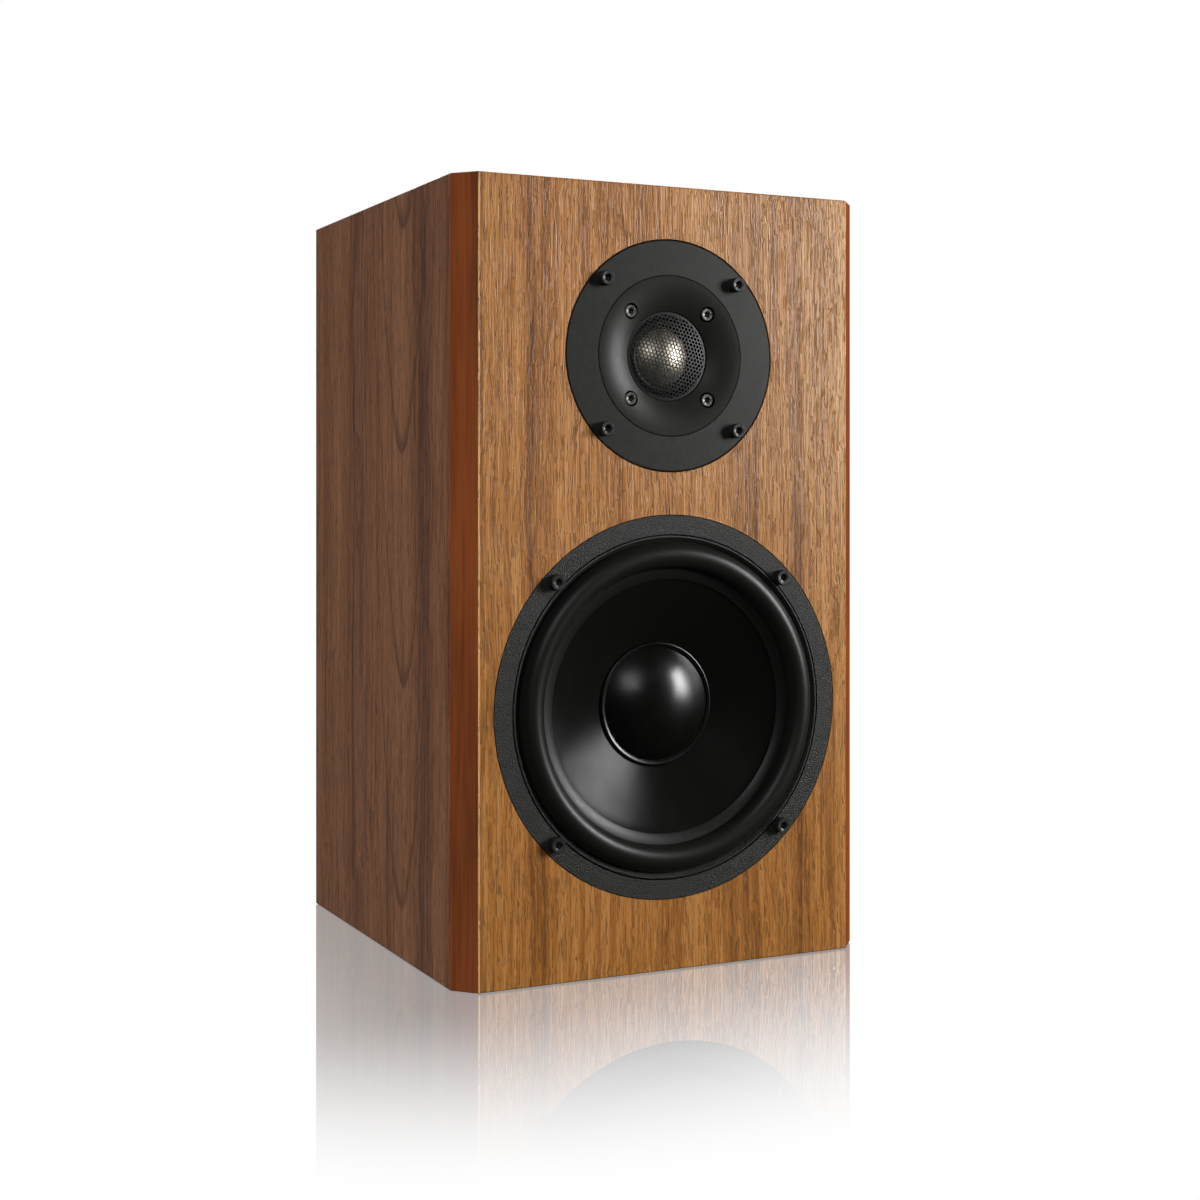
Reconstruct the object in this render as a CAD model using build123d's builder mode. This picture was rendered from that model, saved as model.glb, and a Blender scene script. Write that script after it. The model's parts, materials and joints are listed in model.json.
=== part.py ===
from build123d import *

import os
from math import asin, cos, pi, radians, sin, sqrt, tan

os.makedirs("parts", exist_ok=True)

# Bookshelf speaker, two-way, rear ported. Millimetres, +Z up.
# The origin is the middle of the cabinet's underside, the front faces -Y and +X is to the right.

# ---------------------------------------------------------------- cabinet
cabinet_width = 205.0
cabinet_depth = 200.0
cabinet_height = 352.0
wall = 15.0              # side, top and bottom panels
baffle_thickness = 18.0
back_thickness = 15.0
back_rebate = 7.5        # how far the back panel is let into each wall
trim_front = 9.0         # chamfered corner strip, measured across the front
trim_side = 10.0         # and along the side
edge_ease = 0.8          # small rounding of every outer edge
brace_thickness = 12.0
brace_rim = 21.0
brace_gap = 14.0         # from the woofer cut-out up to the brace
foam_thickness = 10.0
foam_margin = 7.0

# ---------------------------------------------------------------- woofer
woofer_height = 118.2    # axis above the floor
woofer_radius = 86.0
woofer_flange = 4.0
woofer_gasket = 1.0
woofer_cut_radius = 73.5
driver_gap = 0.4         # between a flange and its recess
woofer_screw_circle = 80.75
trim_ring_radius = 77.5
trim_ring_inner = 74.6
trim_ring_flat = 0.8     # level band of the trim ring
trim_ring_fall = 1.6     # how deep its slope ends
surround_outer = 74.4    # foot of the half roll
surround_inner = 62.0
surround_seat = 2.0      # depth of both feet behind the front
surround_rise = 5.6
surround_wall = 0.7
cone_lip_radius = 57.2   # where the glued rim ends and the cone's slope begins
cone_lip_depth = 3.7
cone_slope = 0.38
cone_wall = 0.8
dust_cap_radius = 28.3
dust_cap_rise = 9.0
dust_cap_wall = 0.7
former_radius = 16.1
former_wall = 0.5
winding_wall = 1.0
winding_length = 13.0
magnet_gap = 0.6         # each side of the coil
basket_wall = 2.4
basket_rim_depth = 16.0  # where the rim's wall ends and the arms start
basket_arms = 6
basket_arm_turn = 18.0   # degrees that each arm spans
basket_throat = 46.0     # outer radius of the basket's rear cylinder
basket_throat_wall = 4.0
basket_flange = 3.5      # rear flange that the magnet is bolted to
basket_depth = 50.5      # back of that flange
plate_radius = 45.0
plate_thickness = 6.0
magnet_radius = 50.0
magnet_thickness = 16.0
spider_depth = 34.0      # landing that the spider is glued to
spider_cloth = 0.5
spider_pleats = 10
spider_pleat_height = 1.1
terminal_strip_width = 20.0
tab_width = 4.8
tab_thickness = 0.8
tab_length = 7.0
tab_x = 4.0              # each side of the driver's middle

# ---------------------------------------------------------------- tweeter
tweeter_drop = 76.2      # axis below the top
tweeter_radius = 52.0
tweeter_flange = 4.5
tweeter_gasket = 0.8
tweeter_cut_radius = 38.0
tweeter_screw_circle = 47.0
waveguide_radius = 36.2
waveguide_seat = 2.6
waveguide_body = 32.8
waveguide_back = 8.0
waveguide_screw_circle = 27.5
throat_radius = 20.4
throat_depth = 3.4
mesh_seat = 4.6
mesh_wall = 0.5
mesh_rise = 2.4
dome_radius = 12.8
dome_rise = 4.4
dome_base = 8.6
dome_wall = 0.2
tweeter_plate_radius = 32.0
tweeter_plate = 6.0
tweeter_magnet_radius = 36.0
tweeter_magnet = 10.0
tweeter_yoke = 4.0
tweeter_gap = 0.4
tweeter_former_wall = 0.2
tweeter_winding = 0.3
tweeter_roll_rise = 1.2
tweeter_clamp = 0.4      # thickness of the surround's clamped flange
tweeter_plate_step = 2.2 # recess in the front plate for the moving roll
tweeter_strip_width = 22.0
tweeter_strip_height = 10.0
chamber_radius = 34.0
chamber_depth = 18.0
chamber_wall = 2.0
chamber_side = 5.0
chamber_bevel = 3.0

# ---------------------------------------------------------------- screws
cap_head_radius = 3.5    # M4 socket cap screws that hold both drivers
cap_head_height = 3.9
cap_shank_radius = 2.0
cap_shank_length = 17.0
cap_socket = 1.5
small_head_radius = 3.0  # M3 socket cap screws of the waveguide
small_head_height = 3.0
small_shank_radius = 1.5
small_socket = 1.25
small_counterbore = 3.6
hole_clearance = 0.2

# ---------------------------------------------------------------- rear
port_drop = 90.0         # port axis below the top
port_bore = 24.0
port_wall = 2.2
port_length = 95.0
port_flange_radius = 36.0
port_flange = 2.5
port_flare = 6.0
port_edge = 1.0          # bevels at the inner end and round the flange
terminal_height = 88.0
cup_width = 84.0
cup_height = 60.0
cup_flange = 2.5
cup_body_width = 72.0
cup_body_height = 48.0
cup_recess = 20.0        # cup floor behind the cabinet's back
cup_wall = 2.5
cup_corner = 8.0
cup_body_corner = 6.0
cup_screw_x = 35.5
cup_screw_z = 23.5
cup_screw_head = 1.8     # height of the round head
cup_screw_length = 11.0  # length behind the flange
cup_screw_slot = 2.8
cup_screw_slot_width = 0.7
cup_screw_slot_depth = 1.1
post_pitch = 19.0
stud_radius = 3.0
stud_length = 34.0
stud_inside = 14.0       # length behind the cup floor
banana_bore = 2.0
banana_depth = 16.0
collar_radius = 6.5
collar_thickness = 3.0
washer_radius = 6.0
washer_thickness = 0.8
knob_radius = 7.0
knob_length = 17.7
knob_flutes = 12
knob_flute_radius = 1.2
knob_skirt = 2.5         # plain length before the flutes start
knob_bevel = 0.8
thread_clearance = 0.15
nut_radius = 5.0
nut_thickness = 4.0

# ---------------------------------------------------------------- crossover
board_width = 120.0
board_length = 80.0
board_thickness = 1.6
board_lift = 6.0
board_back_gap = 9.0
board_corner = 3.0
fixing_inset = 5.0
fixing_radius = 3.5
fixing_head = 2.0
bobbin_bore = 3.0
bobbin_flange = 1.5
bobbin_core = 0.45       # core radius as a share of the bobbin's radius
resistor_width = 9.0
resistor_length = 24.0
lead_radius = 1.1
tinsel_radius = 0.6

# ---------------------------------------------------------------- worked-out places
half_width = cabinet_width / 2
front_y = -cabinet_depth / 2
back_y = cabinet_depth / 2
inner_x = half_width - wall
inner_front = front_y + baffle_thickness
inner_back = back_y - back_thickness
inner_bottom = wall
inner_top = cabinet_height - wall
tweeter_height = cabinet_height - tweeter_drop
port_height = cabinet_height - port_drop
brace_bottom = woofer_height + woofer_cut_radius + brace_gap
cup_floor = back_y - cup_recess


def section(height):
    """Half section of a driver: local x is the radius, local y the depth behind the front."""
    return Plane(origin=(0, front_y, height), x_dir=(1, 0, 0), z_dir=(0, 0, 1))


def axis(height):
    """Axis of a driver, through the front at this height."""
    return Axis((0, front_y, height), (0, 1, 0))


def facing(height, depth=0.0):
    """Plane that looks out of the front, this far behind it."""
    return Plane(origin=(0, front_y + depth, height), x_dir=(1, 0, 0), z_dir=(0, -1, 0))


def rear_facing(height, depth=0.0):
    """Plane that looks out of the back, this far inside it."""
    return Plane(origin=(0, back_y - depth, height), x_dir=(-1, 0, 0), z_dir=(0, 1, 0))


def rear_section(height, x=0.0):
    """Half section from the back: local x is the radius, local y the depth inside the back."""
    return Plane(origin=(x, back_y, height), x_dir=(1, 0, 0), z_dir=(0, 0, -1))


def rear_axis(height, x=0.0):
    """Axis out of the back at this height."""
    return Axis((x, back_y, height), (0, 1, 0))


def cone_front(radius):
    """Depth of the woofer cone's front face at a radius."""
    return cone_lip_depth + cone_slope * (cone_lip_radius - radius)


def cap_depth(radius, apex, curve):
    """Depth of a domed cap's face at a radius, for a ball of radius curve that peaks at apex."""
    return apex + curve - sqrt(curve**2 - radius**2)


def bend_radii(points):
    """The largest bend that each corner of a lead's route has room for."""
    radii = []
    for before, corner, after in zip(points, points[1:], points[2:]):
        run_in = Vector(*corner) - Vector(*before)
        run_out = Vector(*after) - Vector(*corner)
        half_turn = radians(run_in.get_angle(run_out)) / 2
        radii.append(0.45 * min(run_in.length, run_out.length) / tan(half_turn))
    return radii


# ================================================================ cabinet
# The outer form: a box with its two front corners cut and every edge eased.
with BuildPart() as envelope:
    with BuildSketch(Plane.XY):
        with BuildLine():
            Polyline(
                (-half_width + trim_front, front_y),
                (half_width - trim_front, front_y),
                (half_width, front_y + trim_side),
                (half_width, back_y),
                (-half_width, back_y),
                (-half_width, front_y + trim_side),
                close=True,
            )
        make_face()
    extrude(amount=cabinet_height)
    fillet(envelope.edges(), radius=edge_ease)

woofer_recess = woofer_flange + woofer_gasket
tweeter_recess = tweeter_flange + tweeter_gasket

with BuildPart() as front_baffle:
    with BuildSketch(Plane.XY):
        with Locations((0, front_y + baffle_thickness / 2)):
            Rectangle(cabinet_width - 2 * trim_front, baffle_thickness)
    extrude(amount=cabinet_height)
    with BuildSketch(facing(woofer_height)):
        Circle(woofer_radius + driver_gap)
    extrude(amount=-woofer_recess, mode=Mode.SUBTRACT)
    with BuildSketch(facing(tweeter_height)):
        Circle(tweeter_radius + driver_gap)
    extrude(amount=-tweeter_recess, mode=Mode.SUBTRACT)
    with BuildSketch(facing(woofer_height)):
        Circle(woofer_cut_radius)
        with PolarLocations(woofer_screw_circle, 4, start_angle=45):
            Circle(cap_shank_radius)
    extrude(amount=-baffle_thickness, mode=Mode.SUBTRACT)
    with BuildSketch(facing(tweeter_height)):
        Circle(tweeter_cut_radius)
        with PolarLocations(tweeter_screw_circle, 4, start_angle=45):
            Circle(cap_shank_radius)
    extrude(amount=-baffle_thickness, mode=Mode.SUBTRACT)
    add(envelope.part, mode=Mode.INTERSECT)
front_baffle.part.label = "front_baffle"
export_step(front_baffle.part, "parts/front_baffle.step")

# Solid timber strips, glued into both front corners and cut to a slope.
for side, name in ((-1, "left"), (1, "right")):
    with BuildPart() as corner_strip:
        with BuildSketch(Plane.XY):
            with BuildLine():
                Polyline(
                    (side * (half_width - trim_front), front_y),
                    (side * half_width, front_y + trim_side),
                    (side * (half_width - trim_front), front_y + trim_side),
                    close=True,
                )
            make_face()
        extrude(amount=cabinet_height)
        add(envelope.part, mode=Mode.INTERSECT)
    corner_strip.part.label = f"corner_strip_{name}"
    export_step(corner_strip.part, f"parts/corner_strip_{name}.step")

# Side panels: mitred to the top and bottom, rebated for the back panel, and with a
# full-height tongue that laps the edge of the baffle behind the corner strip.
for side, name in ((-1, "left"), (1, "right")):
    with BuildPart() as side_panel:
        with BuildSketch(Plane.XZ.offset(-inner_front)):
            with BuildLine():
                Polyline(
                    (side * half_width, 0),
                    (side * half_width, cabinet_height),
                    (side * inner_x, inner_top),
                    (side * inner_x, inner_bottom),
                    close=True,
                )
            make_face()
        extrude(amount=inner_front - back_y)
        with BuildSketch(Plane.XY):
            with BuildLine():
                Polyline(
                    (side * (half_width - trim_front), front_y + trim_side),
                    (side * half_width, front_y + trim_side),
                    (side * half_width, inner_front),
                    (side * (half_width - trim_front), inner_front),
                    close=True,
                )
            make_face()
        extrude(amount=cabinet_height)
        with BuildSketch(rear_facing(cabinet_height / 2)):
            Rectangle(cabinet_width - 2 * back_rebate, cabinet_height - 2 * back_rebate)
        extrude(amount=-back_thickness, mode=Mode.SUBTRACT)
        add(envelope.part, mode=Mode.INTERSECT)
    side_panel.part.label = f"side_panel_{name}"
    export_step(side_panel.part, f"parts/side_panel_{name}.step")

# Top and bottom panels, with the same mitres and the same rebate.
for name, outer_z, inner_z in (
    ("bottom_panel", 0.0, inner_bottom),
    ("top_panel", cabinet_height, inner_top),
):
    with BuildPart() as level_panel:
        with BuildSketch(Plane.XZ.offset(-inner_front)):
            with BuildLine():
                Polyline(
                    (-half_width, outer_z),
                    (half_width, outer_z),
                    (inner_x, inner_z),
                    (-inner_x, inner_z),
                    close=True,
                )
            make_face()
        extrude(amount=inner_front - back_y)
        with BuildSketch(rear_facing(cabinet_height / 2)):
            Rectangle(cabinet_width - 2 * back_rebate, cabinet_height - 2 * back_rebate)
        extrude(amount=-back_thickness, mode=Mode.SUBTRACT)
        add(envelope.part, mode=Mode.INTERSECT)
    level_panel.part.label = name
    export_step(level_panel.part, f"parts/{name}.step")

port_outer = port_bore + port_wall

with BuildPart() as back_panel:
    with BuildSketch(rear_facing(cabinet_height / 2)):
        Rectangle(cabinet_width - 2 * back_rebate, cabinet_height - 2 * back_rebate)
    extrude(amount=-back_thickness)
    with BuildSketch(rear_facing(port_height)):
        Circle(port_outer + hole_clearance)
    extrude(amount=-back_thickness, mode=Mode.SUBTRACT)
    with BuildSketch(rear_facing(terminal_height)):
        RectangleRounded(cup_body_width + 2 * hole_clearance, cup_body_height + 2 * hole_clearance, cup_body_corner)
        with GridLocations(2 * cup_screw_x, 2 * cup_screw_z, 2, 2):
            Circle(small_shank_radius)
    extrude(amount=-back_thickness, mode=Mode.SUBTRACT)
back_panel.part.label = "back_panel"
export_step(back_panel.part, "parts/back_panel.step")

# A window brace ties the four walls together between the two drivers.
with BuildPart() as window_brace:
    with BuildSketch(Plane.XY.offset(brace_bottom)):
        with Locations((0, (inner_front + inner_back) / 2)):
            Rectangle(2 * inner_x, inner_back - inner_front)
            RectangleRounded(
                2 * (inner_x - brace_rim),
                inner_back - inner_front - 2 * brace_rim,
                15,
                mode=Mode.SUBTRACT,
            )
    extrude(amount=brace_thickness)
window_brace.part.label = "window_brace"
export_step(window_brace.part, "parts/window_brace.step")

# Damping foam: one pad on each side of the lower chamber and one under the top.
foam_length = inner_back - inner_front - 6 * foam_margin
foam_middle = (inner_front + inner_back) / 2 + 2 * foam_margin
with BuildPart() as foam_lining:
    with BuildSketch(Plane.XY.offset(inner_bottom + foam_margin)):
        with Locations(
            (-inner_x + foam_thickness / 2, foam_middle),
            (inner_x - foam_thickness / 2, foam_middle),
        ):
            Rectangle(foam_thickness, foam_length)
    extrude(amount=brace_bottom - inner_bottom - 2 * foam_margin)
    with BuildSketch(Plane.XY.offset(inner_top - foam_thickness)):
        with Locations((0, foam_middle)):
            Rectangle(2 * (inner_x - 2 * foam_margin), foam_length)
    extrude(amount=foam_thickness)
foam_lining.part.label = "foam_lining"
export_step(foam_lining.part, "parts/foam_lining.step")

# ================================================================ woofer
ledge_depth = surround_seat + surround_wall
rim_outer = woofer_cut_radius - 0.5
rim_inner = rim_outer - basket_wall
ring_seat = trim_ring_radius + 0.1
throat_inner = basket_throat - basket_throat_wall
coil_radius = former_radius + winding_wall
flange_bore = coil_radius + 7.0
plate_front = basket_depth
magnet_front = plate_front + plate_thickness
yoke_front = magnet_front + magnet_thickness
board_seat = basket_depth - basket_flange    # front of the basket's rear flange
rear_flange_radius = basket_throat + 6.0
collar_outer = basket_throat + 4.0           # collar that the arms run into
collar_inner = collar_outer - 1.6
collar_front = spider_depth - 1.6
collar_back = spider_depth + 3.0

# The basket is cast with a round rim, six arms and a throat. Each is a node of its own.
with BuildPart() as woofer_basket:
    with BuildSketch(section(woofer_height)):
        with BuildLine():
            Polyline(
                (woofer_radius, 0),
                (ring_seat, 0),
                (ring_seat, ledge_depth),
                (rim_inner, ledge_depth),
                (rim_inner, basket_rim_depth),
                (rim_outer, basket_rim_depth),
                (rim_outer, woofer_flange),
                (woofer_radius, woofer_flange),
                close=True,
            )
        make_face()
    revolve(axis=axis(woofer_height))
    with BuildSketch(facing(woofer_height)):
        with PolarLocations(woofer_screw_circle, 4, start_angle=45):
            Circle(cap_shank_radius + hole_clearance)
    extrude(amount=-woofer_flange, mode=Mode.SUBTRACT)
woofer_basket.part.label = "woofer_basket"
export_step(woofer_basket.part, "parts/woofer_basket.step")

with BuildPart() as woofer_basket_arms:
    for arm in range(basket_arms):
        turn = 2 * pi * arm / basket_arms + radians(basket_arm_turn / 2)
        arm_plane = Plane(
            origin=(0, front_y, woofer_height),
            x_dir=(cos(turn), 0, sin(turn)),
            z_dir=(-sin(turn), 0, cos(turn)),
        )
        with BuildSketch(arm_plane):
            with BuildLine():
                Polyline(
                    (rim_inner, basket_rim_depth),
                    (rim_outer, basket_rim_depth),
                    (rim_outer, basket_rim_depth + basket_wall),
                    (collar_outer, collar_back),
                    (collar_outer, collar_front),
                    close=True,
                )
            make_face()
        revolve(axis=axis(woofer_height), revolution_arc=basket_arm_turn)
woofer_basket_arms.part.label = "woofer_basket_arms"
export_step(woofer_basket_arms.part, "parts/woofer_basket_arms.step")

with BuildPart() as woofer_basket_throat:
    with BuildSketch(section(woofer_height)):
        with BuildLine():
            Polyline(
                (collar_inner, collar_front),
                (collar_outer, collar_front),
                (collar_outer, collar_back),
                (basket_throat, collar_back),
                (basket_throat, board_seat),
                (rear_flange_radius, board_seat),
                (rear_flange_radius, basket_depth),
                (flange_bore, basket_depth),
                (flange_bore, board_seat),
                (throat_inner, board_seat),
                (throat_inner, spider_depth),
                (collar_inner, spider_depth),
                close=True,
            )
        make_face()
    revolve(axis=axis(woofer_height))
woofer_basket_throat.part.label = "woofer_basket_throat"
export_step(woofer_basket_throat.part, "parts/woofer_basket_throat.step")

with BuildPart() as woofer_gasket_ring:
    with BuildSketch(facing(woofer_height, woofer_flange)):
        Circle(woofer_radius)
        Circle(woofer_cut_radius + driver_gap, mode=Mode.SUBTRACT)
        with PolarLocations(woofer_screw_circle, 4, start_angle=45):
            Circle(cap_shank_radius + hole_clearance, mode=Mode.SUBTRACT)
    extrude(amount=-woofer_gasket)
woofer_gasket_ring.part.label = "woofer_gasket"
export_step(woofer_gasket_ring.part, "parts/woofer_gasket.step")

# The ring that covers the surround's glued edge slopes down towards the roll.
with BuildPart() as woofer_trim_ring:
    with BuildSketch(section(woofer_height)):
        with BuildLine():
            Polyline(
                (trim_ring_radius, 0),
                (trim_ring_radius, surround_seat),
                (trim_ring_inner, surround_seat),
                (trim_ring_inner, trim_ring_fall),
                (trim_ring_radius - trim_ring_flat, 0),
                close=True,
            )
        make_face()
    revolve(axis=axis(woofer_height))
woofer_trim_ring.part.label = "woofer_trim_ring"
export_step(woofer_trim_ring.part, "parts/woofer_trim_ring.step")

# Rubber half roll, with a flat glued flange outside and a sloping one inside.
surround_middle = (surround_outer + surround_inner) / 2
with BuildPart() as woofer_surround:
    with BuildSketch(section(woofer_height)):
        with BuildLine():
            Polyline(
                (surround_outer, surround_seat),
                (trim_ring_radius - 0.2, surround_seat),
                (trim_ring_radius - 0.2, ledge_depth),
                (surround_outer - surround_wall, ledge_depth),
            )
            ThreePointArc(
                (surround_outer - surround_wall, ledge_depth),
                (surround_middle, surround_seat - surround_rise + surround_wall),
                (surround_inner + surround_wall, ledge_depth),
            )
            Polyline(
                (surround_inner + surround_wall, ledge_depth),
                (surround_inner - 0.2, ledge_depth),
                (cone_lip_radius, cone_lip_depth),
                (cone_lip_radius, cone_lip_depth - surround_wall),
                (surround_inner, surround_seat),
            )
            ThreePointArc(
                (surround_inner, surround_seat),
                (surround_middle, surround_seat - surround_rise),
                (surround_outer, surround_seat),
            )
        make_face()
    revolve(axis=axis(woofer_height))
woofer_surround.part.label = "woofer_surround"
export_step(woofer_surround.part, "parts/woofer_surround.step")

with BuildPart() as woofer_cone:
    with BuildSketch(section(woofer_height)):
        with BuildLine():
            Polyline(
                (surround_inner - 0.2, ledge_depth),
                (cone_lip_radius, cone_lip_depth),
                (former_radius, cone_front(former_radius)),
                (former_radius, cone_front(former_radius) + 4.0),
                (former_radius + cone_wall, cone_front(former_radius) + 4.0),
                (former_radius + 3.0, cone_front(former_radius + 3.0) + cone_wall),
                (cone_lip_radius, cone_lip_depth + cone_wall),
                (surround_inner - 0.2, ledge_depth + cone_wall),
                close=True,
            )
        make_face()
    revolve(axis=axis(woofer_height))
woofer_cone.part.label = "woofer_cone"
export_step(woofer_cone.part, "parts/woofer_cone.step")

# Dust cap: a raised lip round its edge and a dome inside the lip.
dome_edge = dust_cap_radius - 1.9
dome_depth = cone_front(dust_cap_radius) - 0.3
dome_apex = dome_depth - dust_cap_rise
dome_curve = (dome_edge**2 + dust_cap_rise**2) / (2 * dust_cap_rise)
dome_shoulder = dome_edge * 0.6
dome_foot = dome_edge - 0.4           # inner edge of the dome's wall
inner_curve = dome_curve - dust_cap_wall
inner_apex = dome_apex + dust_cap_wall
with BuildPart() as woofer_dust_cap:
    with BuildSketch(section(woofer_height)):
        with BuildLine():
            Polyline(
                (dust_cap_radius, cone_front(dust_cap_radius)),
                (dust_cap_radius, cone_front(dust_cap_radius) - 1.0),
                (dust_cap_radius - 0.3, cone_front(dust_cap_radius) - 1.2),
                (dust_cap_radius - 1.3, cone_front(dust_cap_radius) - 1.2),
                (dome_edge, dome_depth),
            )
            ThreePointArc(
                (dome_edge, dome_depth),
                (dome_shoulder, cap_depth(dome_shoulder, dome_apex, dome_curve)),
                (0, dome_apex),
            )
            Line((0, dome_apex), (0, inner_apex))
            ThreePointArc(
                (0, inner_apex),
                (dome_shoulder, cap_depth(dome_shoulder, inner_apex, inner_curve)),
                (dome_foot, cap_depth(dome_foot, inner_apex, inner_curve)),
            )
            Polyline(
                (dome_foot, cap_depth(dome_foot, inner_apex, inner_curve)),
                (dome_foot, cone_front(dome_foot)),
                (dust_cap_radius, cone_front(dust_cap_radius)),
            )
        make_face()
    revolve(axis=axis(woofer_height))
woofer_dust_cap.part.label = "woofer_dust_cap"
export_step(woofer_dust_cap.part, "parts/woofer_dust_cap.step")

winding_middle = plate_front + plate_thickness / 2
winding_back = winding_middle + winding_length / 2
with BuildPart() as woofer_coil_former:
    with BuildSketch(facing(woofer_height, cone_front(former_radius))):
        Circle(former_radius)
        Circle(former_radius - former_wall, mode=Mode.SUBTRACT)
    extrude(amount=-(winding_back + 0.5 - cone_front(former_radius)))
woofer_coil_former.part.label = "woofer_coil_former"
export_step(woofer_coil_former.part, "parts/woofer_coil_former.step")

with BuildPart() as woofer_voice_coil:
    with BuildSketch(facing(woofer_height, winding_middle - winding_length / 2)):
        Circle(coil_radius)
        Circle(former_radius, mode=Mode.SUBTRACT)
    extrude(amount=-winding_length)
woofer_voice_coil.part.label = "woofer_voice_coil"
export_step(woofer_voice_coil.part, "parts/woofer_voice_coil.step")

# The spider: a pleated cloth disc from the former out to its landing on the basket.
spider_outer = collar_inner - 0.2
spider_flat = 3.6                     # glued width on the landing
spider_neck = 1.5                     # and on the former
pleat_width = (spider_outer - spider_flat - former_radius - spider_neck) / spider_pleats
front_edge = [(former_radius, spider_depth - spider_cloth)]
for pleat in range(spider_pleats + 1):
    rise = spider_pleat_height if pleat % 2 else 0.0
    pleat_radius = former_radius + spider_neck + pleat * pleat_width
    front_edge.append((pleat_radius, spider_depth - spider_cloth - rise))
front_edge.append((spider_outer, spider_depth - spider_cloth))
back_edge = [(radius, depth + spider_cloth) for radius, depth in reversed(front_edge)]
with BuildPart() as woofer_spider:
    with BuildSketch(section(woofer_height)):
        with BuildLine():
            Polyline(*front_edge, *back_edge, close=True)
        make_face()
    revolve(axis=axis(woofer_height))
woofer_spider.part.label = "woofer_spider"
export_step(woofer_spider.part, "parts/woofer_spider.step")

with BuildPart() as woofer_top_plate:
    with BuildSketch(facing(woofer_height, plate_front)):
        Circle(plate_radius)
        Circle(coil_radius + magnet_gap, mode=Mode.SUBTRACT)
    extrude(amount=-plate_thickness)
woofer_top_plate.part.label = "woofer_top_plate"
export_step(woofer_top_plate.part, "parts/woofer_top_plate.step")

with BuildPart() as woofer_magnet:
    with BuildSketch(facing(woofer_height, magnet_front)):
        Circle(magnet_radius)
        Circle(flange_bore, mode=Mode.SUBTRACT)
    extrude(amount=-magnet_thickness)
woofer_magnet.part.label = "woofer_magnet"
export_step(woofer_magnet.part, "parts/woofer_magnet.step")

pole_radius = former_radius - former_wall - magnet_gap
pole_vent = 5.0
yoke_back = yoke_front + plate_thickness
yoke_bevel = 1.5
vent_bevel = 2.0
with BuildPart() as woofer_yoke:
    with BuildSketch(section(woofer_height)):
        with BuildLine():
            Polyline(
                (pole_vent, plate_front),
                (pole_radius, plate_front),
                (pole_radius, yoke_front),
                (plate_radius, yoke_front),
                (plate_radius, yoke_back - yoke_bevel),
                (plate_radius - yoke_bevel, yoke_back),
                (pole_vent + vent_bevel, yoke_back),
                (pole_vent, yoke_back - vent_bevel),
                close=True,
            )
        make_face()
    revolve(axis=axis(woofer_height))
woofer_yoke.part.label = "woofer_yoke"
export_step(woofer_yoke.part, "parts/woofer_yoke.step")

# Terminal strip: a small board on the front of the basket's rear flange, with two tabs.
strip_top = woofer_height - basket_throat - 1.0
strip_bottom = woofer_height - rear_flange_radius - 6.0
tab_height = strip_bottom + 3.0
with BuildPart() as woofer_terminals:
    with BuildSketch(facing((strip_top + strip_bottom) / 2, board_seat)):
        Rectangle(terminal_strip_width, strip_top - strip_bottom)
    extrude(amount=board_thickness)
    with BuildSketch(facing(tab_height, board_seat)):
        with Locations((-tab_x, 0), (tab_x, 0)):
            Rectangle(tab_width, tab_thickness)
    extrude(amount=-tab_length)
woofer_terminals.part.label = "woofer_terminals"
export_step(woofer_terminals.part, "parts/woofer_terminals.step")

# Tinsel leads: from the back of the cone, in front of the spider and out through the
# lowest window, down to the terminal strip.
tinsel_start = former_radius + 7.0
tinsel_end = front_y + board_seat - board_thickness
with BuildPart() as woofer_tinsel_leads:
    for lead_x in (-tab_x, tab_x):
        route = [
            (lead_x, front_y + cone_front(tinsel_start) + cone_wall + 1.0, woofer_height - tinsel_start),
            (lead_x, front_y + cone_front(tinsel_start) + cone_wall + 6.0, woofer_height - tinsel_start),
            (lead_x, front_y + spider_depth - 8.0, woofer_height - 38.0),
            (lead_x, front_y + spider_depth - 11.0, woofer_height - 52.0),
            (lead_x, front_y + spider_depth - 4.0, woofer_height - 63.0),
            (lead_x, tinsel_end - 5.0, tab_height),
            (lead_x, tinsel_end, tab_height),
        ]
        bends = bend_radii(route)
        with BuildLine() as lead_path:
            FilletPolyline(*route, radius=bends)
        with BuildSketch(Plane(origin=lead_path.line @ 0, z_dir=lead_path.line % 0)):
            Circle(tinsel_radius)
        sweep(path=lead_path.line)
print("tinsel lead bends", [round(bend, 1) for bend in bends])
woofer_tinsel_leads.part.label = "woofer_tinsel_leads"
export_step(woofer_tinsel_leads.part, "parts/woofer_tinsel_leads.step")


def cap_screws(height, circle, depth, head_radius, head_height, shank_radius, shank_end, socket):
    """Four socket cap screws on a circle; depth is where the underside of the head sits."""
    with BuildPart() as screws:
        with BuildSketch(facing(height, depth)):
            with PolarLocations(circle, 4, start_angle=45):
                Circle(head_radius)
        extrude(amount=head_height)
        heads = screws.edges().filter_by(GeomType.CIRCLE).group_by(Axis.Y)[0]
        chamfer(heads, length=0.4)
        with BuildSketch(facing(height, depth)):
            with PolarLocations(circle, 4, start_angle=45):
                Circle(shank_radius)
        extrude(amount=-(shank_end - depth))
        with BuildSketch(facing(height, depth - head_height)):
            with PolarLocations(circle, 4, start_angle=45):
                RegularPolygon(socket, 6, major_radius=False)
        extrude(amount=-0.6 * head_height, mode=Mode.SUBTRACT)
    return screws.part


woofer_screws = cap_screws(
    woofer_height, woofer_screw_circle, 0.0,
    cap_head_radius, cap_head_height, cap_shank_radius, cap_shank_length, cap_socket,
)
woofer_screws.label = "woofer_screws"
export_step(woofer_screws, "parts/woofer_screws.step")

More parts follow.
